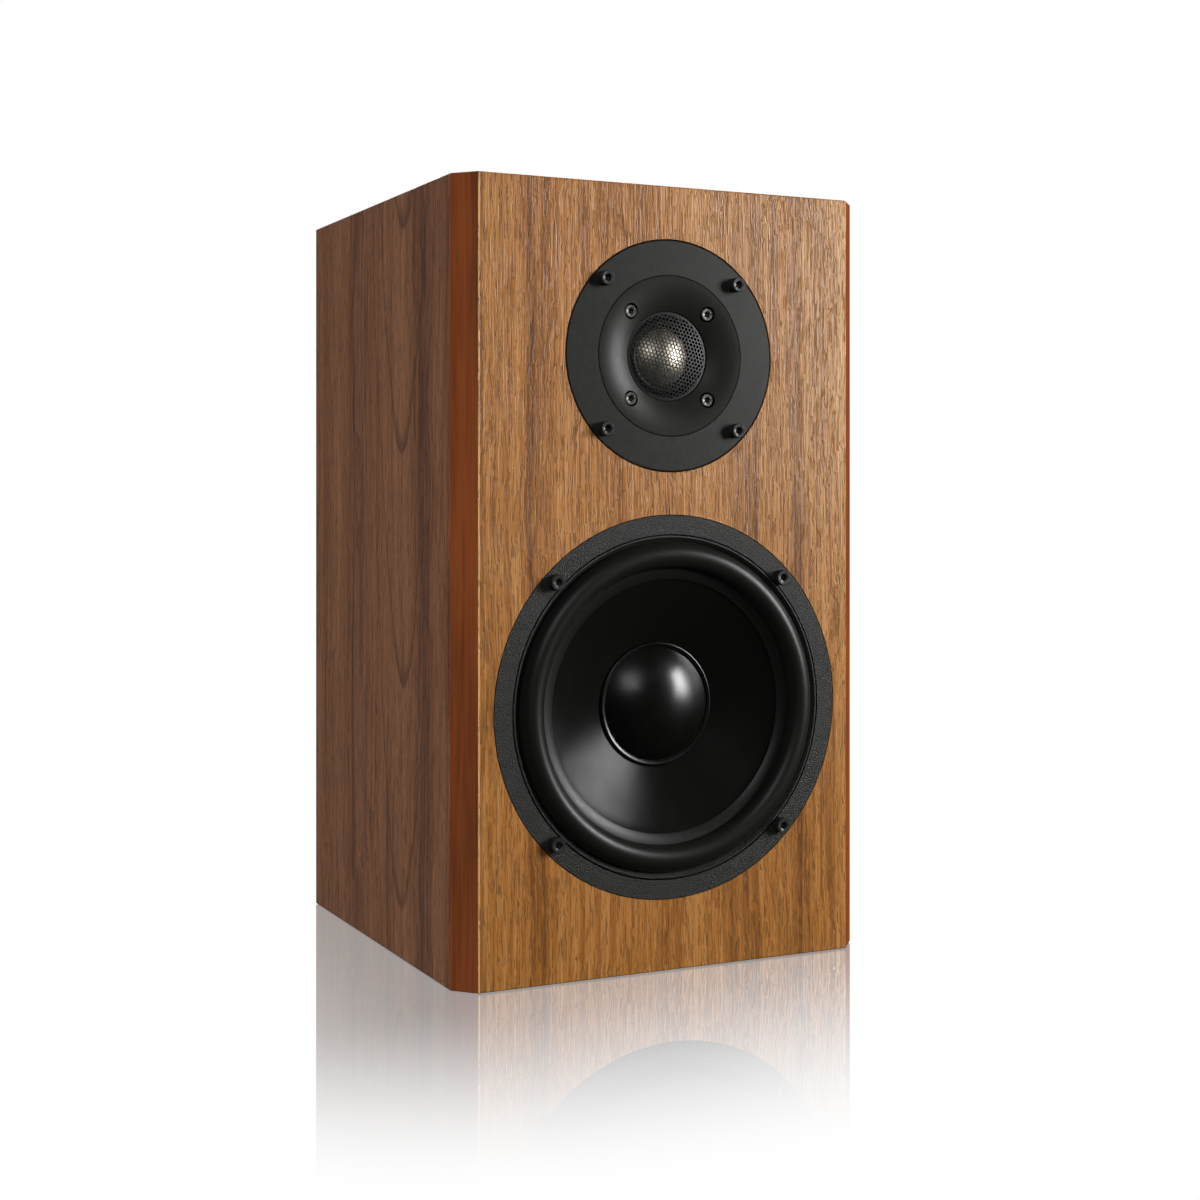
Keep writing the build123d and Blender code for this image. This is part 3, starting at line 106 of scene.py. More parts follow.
# ------------------------------------------------------------------ settings
class WoodSettings(bpy.types.PropertyGroup):
    front_light: FloatVectorProperty(
        name="Front light grain", description="Palest wood of the front veneer",
        subtype="COLOR", size=3, min=0, max=1, default=(0.58, 0.280, 0.086),
    )
    front_mid: FloatVectorProperty(
        name="Front grain", description="Main wood colour of the front veneer",
        subtype="COLOR", size=3, min=0, max=1, default=(0.42, 0.166, 0.034),
    )
    front_dark: FloatVectorProperty(
        name="Front dark grain", description="Darkest lines of the front veneer",
        subtype="COLOR", size=3, min=0, max=1, default=(0.150, 0.050, 0.011),
    )
    # Painted light: the tint the front veneer takes towards its upper right, where the key light falls
    # brighter.
    front_painted_light: FloatVectorProperty(
        name="Front pale side", description="Paler wood towards the front's upper right",
        subtype="COLOR", size=3, min=0, max=1, default=(0.60, 0.36, 0.150),
    )
    side_light: FloatVectorProperty(
        name="Side light grain", description="Palest wood of the wrapped veneer",
        subtype="COLOR", size=3, min=0, max=1, default=(0.315, 0.142, 0.068),
    )
    side_mid: FloatVectorProperty(
        name="Side grain", description="Main wood colour of the wrapped veneer",
        subtype="COLOR", size=3, min=0, max=1, default=(0.235, 0.098, 0.046),
    )
    side_dark: FloatVectorProperty(
        name="Side dark grain", description="Darkest lines of the wrapped veneer",
        subtype="COLOR", size=3, min=0, max=1, default=(0.090, 0.040, 0.024),
    )
    strip: FloatVectorProperty(
        name="Corner strip", description="Solid timber of the cut corners",
        subtype="COLOR", size=3, min=0, max=1, default=(0.285, 0.062, 0.006),
    )
    figure_height: FloatProperty(
        name="Figure height", description="Where the side veneer's arched figure closes",
        subtype="DISTANCE", unit="LENGTH", default=0.240, min=0, max=0.352,
    )


class DriverSettings(bpy.types.PropertyGroup):
    mesh_pitch: FloatProperty(
        name="Mesh pitch", description="Distance between the middles of two holes",
        subtype="DISTANCE", unit="LENGTH", default=1.85 * MM, min=0.5 * MM, max=5 * MM,
    )
    mesh_wire: FloatProperty(
        name="Mesh wire", description="Width of metal left between two holes",
        subtype="DISTANCE", unit="LENGTH", default=0.43 * MM, min=0.1 * MM, max=2 * MM,
    )
    mesh_turn: FloatProperty(
        name="Mesh turn", description="How far the rows of holes fall to the right",
        subtype="ANGLE", unit="ROTATION", default=radians(13), min=0, max=radians(60),
    )
    roll_wall: FloatProperty(
        name="Surround wall", description="Thickness of the woofer's rubber",
        subtype="DISTANCE", unit="LENGTH", default=0.7 * MM, min=0.3 * MM, max=2 * MM,
    )
    pleats: IntProperty(
        name="Spider pleats", description="Waves across the woofer's spider",
        default=6, min=2, max=12,
    )
    sides: IntProperty(
        name="Round steps", description="Facets round each turned piece",
        default=192, min=48, max=384,
    )


class StudioSettings(bpy.types.PropertyGroup):
    key_power: FloatProperty(
        name="Key light", description="Power of the large soft light on the right",
        subtype="POWER", unit="POWER", default=26.0, min=0,
    )
    fill_power: FloatProperty(
        name="Fill light", description="Power of the small soft light in front",
        subtype="POWER", unit="POWER", default=5.4, min=0,
    )
    rear_power: FloatProperty(
        name="Rear light", description="Power of the soft light behind the cabinet",
        subtype="POWER", unit="POWER", default=14.0, min=0,
    )
    floor_shine: FloatProperty(
        name="Floor shine", description="Share of mirror in the floor at the cabinet's foot",
        subtype="FACTOR", default=0.72, min=0, max=1,
    )
    floor_fade: FloatProperty(
        name="Floor fade", description="How far from the cabinet the floor still mirrors it",
        subtype="DISTANCE", unit="LENGTH", default=0.23, min=0.01, max=2,
    )


# ------------------------------------------------------------------ material tools
def add(material, kind, inputs=None, **settings):
    """Adds one shader node, with its settings, and its inputs as values or as links."""
    tree = material.node_tree
    made = tree.nodes.new(kind)
    for key, value in settings.items():
        setattr(made, key, value)
    for key, value in (inputs or {}).items():
        if isinstance(value, bpy.types.NodeSocket):
            tree.links.new(value, made.inputs[key])
        else:
            made.inputs[key].default_value = value
    return made


def start(name, metallic=0.0, **sockets):
    """A new material with its shader; sockets are constant values by their names."""
    material = bpy.data.materials.new(name)
    material.use_nodes = True
    shader = material.node_tree.nodes["Principled BSDF"]
    shader.inputs["Metallic"].default_value = metallic
    for key, value in sockets.items():
        shader.inputs[key.replace("_", " ")].default_value = value
    return material, shader


def place(material):
    """The object's own coordinates."""
    return add(material, "ShaderNodeTexCoord").outputs["Object"]


def stretched(material, vector, scale):
    """Coordinates with a frequency of their own along each axis."""
    made = add(material, "ShaderNodeMapping", {"Vector": vector, "Scale": scale})
    return made.outputs["Vector"]


def noise(material, vector, scale=1.0, detail=3.0, rough=0.5):
    made = add(
        material, "ShaderNodeTexNoise",
        {"Vector": vector, "Scale": scale, "Detail": detail, "Roughness": rough},
    )
    return made.outputs["Fac"]


def sums(material, operation, a, b=0.0, clamp=False):
    made = add(material, "ShaderNodeMath", {0: a, 1: b}, operation=operation, use_clamp=clamp)
    return made.outputs["Value"]


def between(material, value, low, high, to_low=0.0, to_high=1.0):
    """value read from low to high, smoothly, onto to_low to to_high."""
    made = add(
        material, "ShaderNodeMapRange",
        {"Value": value, "From Min": low, "From Max": high, "To Min": to_low, "To Max": to_high},
        interpolation_type="SMOOTHSTEP",
    )
    return made.outputs["Result"]


def mixed(material, factor, a, b, blend="MIX"):
    """One colour over another."""
    made = add(
        material, "ShaderNodeMix", {0: factor, 6: solid(a), 7: solid(b)},
        data_type="RGBA", blend_type=blend,
    )
    return made.outputs[2]


def solid(colour):
    """A colour with its alpha, or a socket as it is."""
    return colour if isinstance(colour, bpy.types.NodeSocket) else (*colour[:3], 1.0)


def join(material, shader, colour=None, rough=None, height=None, depth=0.0):
    """Links colour, gloss and relief into the shader."""
    links = material.node_tree.links
    if colour is not None:
        links.new(colour, shader.inputs["Base Color"])
    if rough is not None:
        links.new(rough, shader.inputs["Roughness"])
    if height is not None:
        bump = add(material, "ShaderNodeBump", {"Height": height, "Distance": depth, "Strength": 1.0})
        links.new(bump.outputs["Normal"], shader.inputs["Normal"])
    return material


def coat(name, dark, light, grain, rough, depth=0.0, metallic=0.0, **sockets):
    """A finish whose colour, gloss and relief follow a fine noise of this grain in metres."""
    material, shader = start(name, metallic, **sockets)
    where = place(material)
    fine = noise(material, where, 1 / grain, 4.0)
    broad = noise(material, where, 0.05 / grain, 2.0)
    blend = sums(material, "MULTIPLY_ADD", fine, 0.7)
    tone = sums(material, "MULTIPLY", broad, 0.3)
    colour = mixed(material, sums(material, "ADD", blend, tone), dark, light)
    gloss = between(material, fine, 0.3, 0.7, rough - 0.04, rough + 0.04)
    return join(material, shader, colour, gloss, fine if depth else None, depth)


def veneer(name, palette, frequency, tip=None, pale=None, relief=0.0003):
    """Open-grained veneer. frequency holds the grain's frequency along each axis, per metre. A pale tint,
    when given, paints light on the front: lighter towards its upper right, with a painted highlight line
    along its left edge.
    """
    dark, mid, light = palette
    material, shader = start(name, Specular_IOR_Level=0.34)
    where = place(material)
    drift = noise(material, stretched(material, where, (9, 9, 9)), 1.0, 2.0)
    ripple = noise(material, stretched(material, where, (230, 230, 170)), 1.0, 1.0)
    sway = sums(
        material, "ADD",
        sums(material, "MULTIPLY", drift, 0.012), sums(material, "MULTIPLY", ripple, 0.0014),
    )
    shift = add(material, "ShaderNodeVectorMath", {0: (1.0, 1.0, 1.0), 3: sway}, operation="SCALE")
    bent = add(material, "ShaderNodeVectorMath", {0: where, 1: shift.outputs["Vector"]}, operation="ADD")
    bent = bent.outputs["Vector"]

    def streaks(wide, long, detail, rough=0.5):
        """Noise with this many streaks a metre across the grain and along it."""
        scale = [long if f < 100 else wide for f in frequency]
        return noise(material, stretched(material, bent, scale), 1.0, detail, rough)

    bands = streaks(50, 0.7, 3.0)
    lines = streaks(330, 3.5, 5.0, 0.65)
    hairs = streaks(1500, 20.0, 2.0, 0.6)
    dashes = streaks(1700, 62.0, 2.0, 0.55)
    vein = sums(material, "ABSOLUTE", sums(material, "SUBTRACT", streaks(75, 1.3, 3.0), 0.5))
    tone = sums(
        material, "ADD",
        sums(material, "MULTIPLY", bands, 0.38), sums(material, "MULTIPLY", lines, 0.40),
    )
    tone = sums(material, "ADD", tone, sums(material, "MULTIPLY", hairs, 0.22))
    ramp = add(material, "ShaderNodeValToRGB", {0: tone})
    stops = ramp.color_ramp.elements
    stops[0].position, stops[0].color = 0.37, (*dark, 1)
    stops[1].position, stops[1].color = 0.62, (*light, 1)
    stops.new(0.49).color = (*mid, 1)
    colour = ramp.outputs["Color"]
    # Painted light: with a tint given, the colour is lightened towards the upper right of the front, where
    # the key light falls brighter.
    if pale:
        part = add(material, "ShaderNodeSeparateXYZ", {0: where})
        right = between(material, part.outputs["X"], -0.06, 0.12, 0.0, 0.6)
        high = between(material, part.outputs["Z"], -0.05, 0.33, 0.15, 1.0)
        painted_lit = mixed(material, 1.0, colour, [c / m for c, m in zip(pale, light)], "MULTIPLY")
        colour = mixed(material, sums(material, "MULTIPLY", right, high), colour, painted_lit)
        # Painted highlight: a thin bright line along the front's left edge, by the corner strip, standing in
        # for the front light caught on a rounded edge.
        from_edge = sums(material, "ADD", part.outputs["X"], HALF_WIDTH - STRIP - 0.0003)
        edge = between(material, sums(material, "ABSOLUTE", from_edge), 0.0003, 0.0008, 0.8, 0.0)
        colour = mixed(material, edge, colour, (0.85, 0.50, 0.20))
    shadow = [0.45 * m for m in mid]
    colour = mixed(material, between(material, vein, 0.0, 0.016, 0.50, 0.0), colour, shadow)
    if tip:
        colour = mixed(material, arches(material, bent, tip), colour, dark)
    holes = between(material, dashes, 0.54, 0.66)
    colour = mixed(material, sums(material, "MULTIPLY", holes, 0.70), colour, shadow)
    gloss = sums(
        material, "ADD",
        between(material, lines, 0.3, 0.7, 0.31, 0.37), sums(material, "MULTIPLY", holes, 0.15),
    )
    height = sums(material, "SUBTRACT", sums(material, "MULTIPLY", hairs, 0.8), holes)
    return join(material, shader, colour, gloss, height, relief)


def arches(material, where, tip):
    """Arched growth lines on a side: curves that close at tip and open upwards. Returns their darkness."""
    part = add(material, "ShaderNodeSeparateXYZ", {0: where})
    across = sums(material, "SUBTRACT", part.outputs["Y"], tip[0])
    climb = sums(material, "SUBTRACT", part.outputs["Z"], tip[1])
    opening = sums(material, "DIVIDE", sums(material, "MULTIPLY", across, across), 0.008)
    ring = sums(material, "DIVIDE", sums(material, "SUBTRACT", opening, climb), 0.105)
    step = sums(material, "FRACT", ring)
    late = between(material, step, 0.86, 1.0)
    early = between(material, step, 0.0, 0.03, 1.0, 0.0)
    both = sums(material, "MAXIMUM", sums(material, "POWER", late, 2.0), early)
    near = between(material, ring, 0.5, 7.0, 0.62, 0.10)
    return sums(material, "MULTIPLY", both, near)


def timber(name, colour):
    """Close-grained solid timber under a satin oil."""
    material, shader = start(name, Specular_IOR_Level=0.26, Coat_Weight=0.05, Coat_Roughness=0.22)
    where = place(material)
    clouds = noise(material, stretched(material, where, (60, 60, 9)), 1.0, 2.0)
    fibres = noise(material, stretched(material, where, (900, 900, 24)), 1.0, 4.0)
    tone = sums(
        material, "ADD",
        sums(material, "MULTIPLY", clouds, 0.6), sums(material, "MULTIPLY", fibres, 0.4),
    )
    shade = between(material, tone, 0.3, 0.7)
    result = mixed(material, shade, [0.62 * c for c in colour], [min(1.0, 1.30 * c) for c in colour])
    return join(material, shader, result, between(material, fibres, 0.3, 0.7, 0.30, 0.42), fibres, 0.00002)


def wound(name, dark, light, pitch, axis, rough, metallic):
    """Wire wound side by side, with its turns along this axis."""
    material, shader = start(name, metallic)
    turns = add(
        material, "ShaderNodeTexWave",
        {"Vector": place(material), "Scale": 0.314 / pitch, "Distortion": 0.6, "Detail": 1.0},
        wave_type="BANDS", bands_direction=axis, wave_profile="SIN",
    ).outputs["Fac"]
    colour = mixed(material, turns, dark, light)
    gloss = between(material, turns, 0, 1, rough + 0.15, rough)
    return join(material, shader, colour, gloss, turns, pitch / 3)


def woven(name, dark, light, pitch, rough=0.85):
    """Plain-woven cloth."""
    material, shader = start(name, Sheen_Weight=0.25, Sheen_Roughness=0.4)
    where = place(material)
    waves = []
    for direction in ("X", "Z"):
        waves.append(add(
            material, "ShaderNodeTexWave", {"Vector": where, "Scale": 0.314 / pitch, "Distortion": 0.4},
            wave_type="BANDS", bands_direction=direction,
        ).outputs["Fac"])
    weave = sums(material, "MULTIPLY", waves[0], waves[1])
    tint = sums(material, "ADD", sums(material, "MULTIPLY", weave, 0.7), sums(
        material, "MULTIPLY", noise(material, where, 160.0), 0.3))
    return join(
        material, shader, mixed(material, tint, dark, light),
        between(material, weave, 0, 1, rough - 0.1, rough), weave, pitch / 4,
    )


def make_finishes():
    """Every finish, by the slot that it stands for."""
    wood = bpy.context.scene.speaker_wood
    front = (tuple(wood.front_dark), tuple(wood.front_mid), tuple(wood.front_light))
    side = (tuple(wood.side_dark), tuple(wood.side_mid), tuple(wood.side_light))
    upright = (950, 950, 12)
    return {
        "front_veneer": veneer("front_veneer", front, upright, None, tuple(wood.front_painted_light), 0.00028),
        "side_veneer": veneer("side_veneer", side, upright, (-0.024, wood.figure_height), None, 0.0001),
        "top_veneer": veneer("top_veneer", side, (12, 950, 950), None, None, 0.0001),
        "corner_timber": timber("corner_timber", wood.strip),
        "brace_board": coat("brace_board", (0.30, 0.20, 0.11), (0.46, 0.33, 0.20), 0.0012, 0.85, 0.0001),
        "damping_foam": coat(
            "damping_foam", (0.012, 0.012, 0.013), (0.06, 0.06, 0.065), 0.0011, 0.95, 0.0006,
        ),
        "textured_metal": coat(
            "textured_metal", (0.003, 0.003, 0.003), (0.019, 0.019, 0.017), 0.00055, 0.37, 0.00045,
            Specular_IOR_Level=0.25,
        ),
        "satin_metal": coat(
            "satin_metal", (0.010, 0.0105, 0.009), (0.014, 0.0145, 0.0125), 0.0006, 0.34, 0.00001,
            Specular_IOR_Level=0.38,
        ),
        "satin_horn": coat(
            "satin_horn", (0.010, 0.0105, 0.009), (0.014, 0.0145, 0.0125), 0.0006, 0.37, 0.00001,
            Specular_IOR_Level=0.15,
        ),
        "gasket_foam": coat("gasket_foam", (0.010, 0.010, 0.010), (0.026, 0.026, 0.026), 0.0005, 0.9, 0.0001),
        "surround_rubber": coat(
            "surround_rubber", (0.005, 0.005, 0.005), (0.009, 0.009, 0.008), 0.0009, 0.36, 0.000004,
            Specular_IOR_Level=0.22,
        ),
        "cone_polymer": coat(
            "cone_polymer", (0.0035, 0.0035, 0.003), (0.005, 0.005, 0.0045), 0.02, 0.24,
            Specular_IOR_Level=0.07,
        ),
        "cap_polymer": coat(
            "cap_polymer", (0.0015, 0.0015, 0.0013), (0.003, 0.003, 0.0025), 0.02, 0.27,
            Specular_IOR_Level=0.38,
        ),
        "former_foil": coat("former_foil", (0.42, 0.39, 0.34), (0.60, 0.56, 0.49), 0.0008, 0.35, 0.0, 1.0),
        "copper_wire": wound("copper_wire", (0.20, 0.06, 0.02), (0.72, 0.34, 0.15), 0.0006, "Y", 0.28, 1.0),
        "copper_coil": wound("copper_coil", (0.20, 0.06, 0.02), (0.72, 0.34, 0.15), 0.0011, "Z", 0.28, 1.0),
        "spider_cloth": woven("spider_cloth", (0.20, 0.13, 0.045), (0.52, 0.38, 0.17), 0.0007),
        "zinc_steel": coat("zinc_steel", (0.38, 0.38, 0.39), (0.55, 0.55, 0.56), 0.002, 0.38, 0.00001, 1.0),
        "ferrite": coat("ferrite", (0.020, 0.020, 0.022), (0.050, 0.050, 0.054), 0.0007, 0.62, 0.00004),
        "black_screw": coat(
            "black_screw", (0.008, 0.008, 0.008), (0.018, 0.018, 0.017), 0.0008, 0.36, 0.0, 0.0,
        ),
        "dull_screw": coat("dull_screw", (0.045, 0.043, 0.040), (0.10, 0.096, 0.088), 0.0007, 0.40, 0.0, 0.8),
        "mesh_steel": coat(
            "mesh_steel", (0.006, 0.006, 0.006), (0.013, 0.013, 0.012), 0.0006, 0.46, Specular_IOR_Level=0.24
        ),
        "dome_metal": coat("dome_metal", (0.50, 0.45, 0.35), (0.70, 0.64, 0.53), 0.0030, 0.40, 0.0, 1.0),
        "black_plastic": coat(
            "black_plastic", (0.014, 0.014, 0.014), (0.030, 0.030, 0.030), 0.0006, 0.52, 0.00004,
        ),
        "red_plastic": coat("red_plastic", (0.34, 0.010, 0.010), (0.50, 0.020, 0.018), 0.0020, 0.26, 0.0),
        "knob_black": coat("knob_black", (0.010, 0.010, 0.010), (0.020, 0.020, 0.020), 0.0020, 0.26, 0.0),
        "gilt_brass": coat("gilt_brass", (0.72, 0.48, 0.16), (0.88, 0.65, 0.28), 0.0025, 0.24, 0.0, 1.0),
        "board_laminate": coat(
            "board_laminate", (0.025, 0.075, 0.030), (0.045, 0.125, 0.050), 0.0010, 0.40, 0.00002,
        ),
        "capacitor_film": coat("capacitor_film", (0.42, 0.30, 0.03), (0.60, 0.46, 0.06), 0.0040, 0.30, 0.0),
        "resistor_cement": coat(
            "resistor_cement", (0.58, 0.57, 0.52), (0.76, 0.75, 0.70), 0.0009, 0.8, 0.00005,
        ),
        "lead_insulation": coat(
            "lead_insulation", (0.22, 0.012, 0.012), (0.34, 0.022, 0.020), 0.0030, 0.45, 0.0,
        ),
        "tinsel": wound("tinsel", (0.30, 0.17, 0.07), (0.74, 0.52, 0.28), 0.0005, "DIAGONAL", 0.30, 1.0),
    }


FINISHES = {}


def finish(slot):
    """The material of a slot; all of them are made at the first call."""
    if not FINISHES:
        FINISHES.update(make_finishes())
    return FINISHES[slot]


def paint(nodes, slot, material=None):
    """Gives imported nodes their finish."""
    for name in nodes:
        packed = frame["nodes"][name]
        packed.data.materials.clear()
        packed.data.materials.append(finish(material or slot))


# ------------------------------------------------------------------ modelling tools
def clear_selection():
    if bpy.context.mode != "OBJECT":
        bpy.ops.object.mode_set(mode="OBJECT")
    bpy.ops.object.select_all(action="DESELECT")


def named(name):
    """Names the active piece and puts its origin at the frame's origin."""
    piece = bpy.context.object
    piece.name = name
    piece.data.name = name
    bpy.ops.object.transform_apply(location=True, rotation=True, scale=True)
    return piece


def tidy_mesh(smooth=radians(35)):
    """Merges doubles, points the faces outwards and smooths the gentle edges."""
    if bpy.context.mode != "EDIT_MESH":
        bpy.ops.object.mode_set(mode="EDIT")
    bpy.ops.mesh.select_all(action="SELECT")
    bpy.ops.mesh.remove_doubles(threshold=0.00001)
    bpy.ops.mesh.normals_make_consistent(inside=False)
    bpy.ops.object.mode_set(mode="OBJECT")
    bpy.ops.object.shade_smooth_by_angle(angle=smooth)


def turned(name, centre, profile, sides=None, smooth=radians(35)):
    """A round piece about centre, grown ring by ring along its profile of radius and depth behind the front.

    A radius of 0 ends it in a point, and a last point like the first closes its section."""
    sides = sides or bpy.context.scene.speaker_drivers.sides
    clear_selection()
    radius, depth = profile[0]
    bpy.ops.mesh.primitive_circle_add(
        vertices=sides, radius=radius,
        location=(centre.x, FRONT + depth, centre.z), rotation=(pi / 2, 0, 0),
    )
    piece = named(name)
    bpy.ops.object.mode_set(mode="EDIT")
    bpy.ops.mesh.select_all(action="SELECT")
    for next_radius, next_depth in profile[1:]:
        bpy.ops.mesh.extrude_region_move(TRANSFORM_OT_translate={"value": (0, next_depth - depth, 0)})
        if next_radius == 0:
            bpy.ops.mesh.merge(type="CENTER")
            break
        scale = next_radius / radius
        heart = (centre.x, FRONT + next_depth, centre.z)
        bpy.ops.transform.resize(value=(scale, 1, scale), center_override=heart)
        radius, depth = next_radius, next_depth
    tidy_mesh(smooth)
    return piece


def bow(radius, depth, size, begin, end, steps):
    """Points on an arc of this size about (radius, depth); angles in degrees, 90 towards the front."""
    return [
        (
            radius + size * cos(radians(begin + (end - begin) * i / steps)),
            depth - size * sin(radians(begin + (end - begin) * i / steps)),
        )
        for i in range(steps + 1)
    ]


def ride(piece, body, slot, *nodes):
    """Finishes a new piece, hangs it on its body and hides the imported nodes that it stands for."""
    piece.data.materials.clear()
    piece.data.materials.append(finish(slot))
    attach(piece, body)
    if nodes:
        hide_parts(*nodes)
    return piece


def stretch(piece, body, slot, share, *nodes):
    """A piece between the cabinet and a body; share(point) is how far each point follows the body."""
    piece.data.materials.clear()
    piece.data.materials.append(finish(slot))
    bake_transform(piece, "cabinet", body, start=(0, 0, 0), end=(0, 1, 0))
    weights = piece.data.attributes["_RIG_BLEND"].data
    for vertex, weight in zip(piece.data.vertices, weights):
        weight.value = share(vertex.co)
    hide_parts(*nodes)
    return piece


def radial_share(centre, held, moving):
    """Follows the cabinet from radius held outwards, and the cone from radius moving inwards."""

    def share(point):
        radius = hypot(point.x - centre.x, point.z - centre.z)
        part = min(1.0, max(0.0, (held - radius) / (held - moving)))
        return part * part * (3 - 2 * part)

    return share


# ------------------------------------------------------------------ cabinet
class SPEAKER_OT_cabinet(bpy.types.Operator):
    """Veneers the cabinet's panels and oils its corner strips"""

    bl_idname = "speaker.cabinet"
    bl_label = "Cabinet"

    def execute(self, context):
        paint(["front_baffle"], "front_veneer")
        paint(["side_panel_left", "side_panel_right", "back_panel"], "side_veneer")
        paint(["top_panel", "bottom_panel"], "side_veneer", "top_veneer")
        paint(["corner_strip_left", "corner_strip_right"], "corner_timber")
        paint(["window_brace"], "brace_board")
        return {"FINISHED"}


class SPEAKER_OT_foam(bpy.types.Operator):
    """Models the three damping pads with soft edges and a waved face"""

    bl_idname = "speaker.foam"
    bl_label = "Damping pads"

    def execute(self, context):
        packed = frame["nodes"]["foam_lining"]
        pads = pad_boxes(packed)
        for index, (pad_low, pad_high) in enumerate(pads):
            pad = soft_pad(f"foam_pad_{index + 1}", pad_low, pad_high)
            ride(pad, "cabinet", "damping_foam", *(["foam_lining"] if index == 0 else []))
        return {"FINISHED"}


def pad_boxes(packed):
    """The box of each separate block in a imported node."""
    top_pad = 0.30
    groups = {}
    for vertex in packed.data.vertices:
        key = "top" if vertex.co.z > top_pad else vertex.co.x > 0
        groups.setdefault(key, []).append(vertex.co.copy())
    boxes = []
    for points in groups.values():
        low = Vector([min(p[i] for p in points) for i in range(3)])
        high = Vector([max(p[i] for p in points) for i in range(3)])
        boxes.append((low, high))
    return boxes


def soft_pad(name, low, high):
    """A foam block: subdivided, its faces waved a little and its edges rounded."""
    clear_selection()
    bpy.ops.mesh.primitive_cube_add(size=1, location=(low + high) / 2, scale=high - low)
    pad = named(name)
    bpy.ops.object.mode_set(mode="EDIT")
    bpy.ops.mesh.select_all(action="SELECT")
    bpy.ops.mesh.bevel(offset=2.2 * MM, segments=3, affect="EDGES")
    bpy.ops.mesh.select_all(action="SELECT")
    bpy.ops.mesh.subdivide(number_cuts=9)
    bpy.ops.object.mode_set(mode="OBJECT")
    waves = bpy.data.textures.new(name + "_waves", "CLOUDS")
    waves.noise_scale = 0.02
    modifier = pad.modifiers.new("waves", "DISPLACE")
    modifier.texture = waves
    modifier.mid_level = 1.0
    modifier.strength = 1.6 * MM
    bpy.ops.object.modifier_apply(modifier=modifier.name)
    tidy_mesh(radians(60))
    return pad


# ------------------------------------------------------------------ woofer
CONE_LIP = (57.2 * MM, 3.7 * MM)
CONE_SLOPE = 0.38
SEAT = 2.0 * MM


def cone_depth(radius):
    """Depth of the cone's face behind the front."""
    return CONE_LIP[1] + CONE_SLOPE * (CONE_LIP[0] - radius)


class SPEAKER_OT_woofer_frame(bpy.types.Operator):
    """Coats the woofer's basket, trim ring and gasket, and finishes its motor"""

    bl_idname = "speaker.woofer_frame"
    bl_label = "Woofer frame"

    def execute(self, context):
        paint(
            ["woofer_basket", "woofer_basket_arms", "woofer_basket_throat"],
            "textured_metal",
        )
        self.trim_ring()
        paint(["woofer_gasket"], "gasket_foam")
        paint(["woofer_top_plate", "woofer_yoke"], "zinc_steel")
        paint(["woofer_magnet"], "ferrite")
        paint(["woofer_terminals"], "gilt_brass")
        paint(["woofer_coil_former"], "former_foil")
        paint(["woofer_voice_coil"], "copper_wire")
        return {"FINISHED"}

    def trim_ring(self):
        """The sloping ring that clamps the surround, with its outer edge rounded off."""
        outer = reach("woofer_trim_ring") - 0.45 * MM
        inner, flat, fall, edge = 74.6 * MM, 0.8 * MM, 1.6 * MM, 0.3 * MM
        profile = bow(outer - edge, edge, edge, 90, 0, 5)
        profile += [(outer, SEAT), (inner, SEAT)]
        profile += [(inner, fall + 0.15 * MM), (inner + 0.2 * MM, fall - 0.15 * MM)]
        profile += [(outer - flat, 0.0), (outer - edge, 0.0)]
        ring = turned("sloping_ring", WOOFER, profile, smooth=radians(30))
        ride(ring, "cabinet", "textured_metal", "woofer_trim_ring")


class SPEAKER_OT_cone(bpy.types.Operator):
    """Turns the woofer's polished cone"""

    bl_idname = "speaker.cone"
    bl_label = "Woofer cone"

    def execute(self, context):
        outer = reach("woofer_cone")
        neck = reach("woofer_coil_former")
        wall = 0.8 * MM
        lip = SEAT + context.scene.speaker_drivers.roll_wall
        slope = [CONE_LIP[0] + (neck - CONE_LIP[0]) * i / 12 for i in range(13)]
        profile = [(outer, lip)]
        profile += [(radius, cone_depth(radius)) for radius in slope]
        profile += [(neck, cone_depth(neck) + 4 * MM), (neck + wall, cone_depth(neck) + 4 * MM)]
        profile += [(neck + 3 * MM, cone_depth(neck + 3 * MM) + wall)]
        profile += [(CONE_LIP[0], CONE_LIP[1] + wall), (outer, lip + wall), (outer, lip)]
        cone = turned("cone_body", WOOFER, profile)
        ride(cone, "woofer_cone_assembly", "cone_polymer", "woofer_cone")
        return {"FINISHED"}


class SPEAKER_OT_dust_cap(bpy.types.Operator):
    """Turns the dust cap with its raised lip"""

    bl_idname = "speaker.dust_cap"
    bl_label = "Dust cap"

    def execute(self, context):
        radius = reach("woofer_dust_cap")
        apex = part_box("woofer_dust_cap")[0].y - FRONT
        seat = cone_depth(radius)
        bead = 0.8 * MM
        edge = radius - 2.3 * MM
        foot = seat - 0.3 * MM
        rise = foot - apex
        ball = (edge**2 + rise**2) / (2 * rise)
        wall = 0.7 * MM
        profile = [(radius, seat + 0.2 * MM)]
        profile += bow(radius - bead, seat - 0.4 * MM, bead, 0, 106, 8)
        profile += [(edge + 0.50 * MM, seat - 0.90 * MM), (edge + 0.20 * MM, seat - 0.35 * MM)]
        rings = [edge * sin(pi / 2 * (1 - i / 26)) for i in range(27)]
        profile += [(r, apex + ball - sqrt(ball**2 - r**2)) for r in rings[:-1]]
        profile.append((0, apex))
        cap = turned("dust_cap_shell", WOOFER, profile, smooth=radians(30))
        clear_selection()
        cap.select_set(True)
        context.view_layer.objects.active = cap
        shell = cap.modifiers.new("wall", "SOLIDIFY")
        shell.thickness = wall
        shell.offset = -1
        bpy.ops.object.modifier_apply(modifier=shell.name)
        ride(cap, "woofer_cone_assembly", "cap_polymer", "woofer_dust_cap")
        return {"FINISHED"}


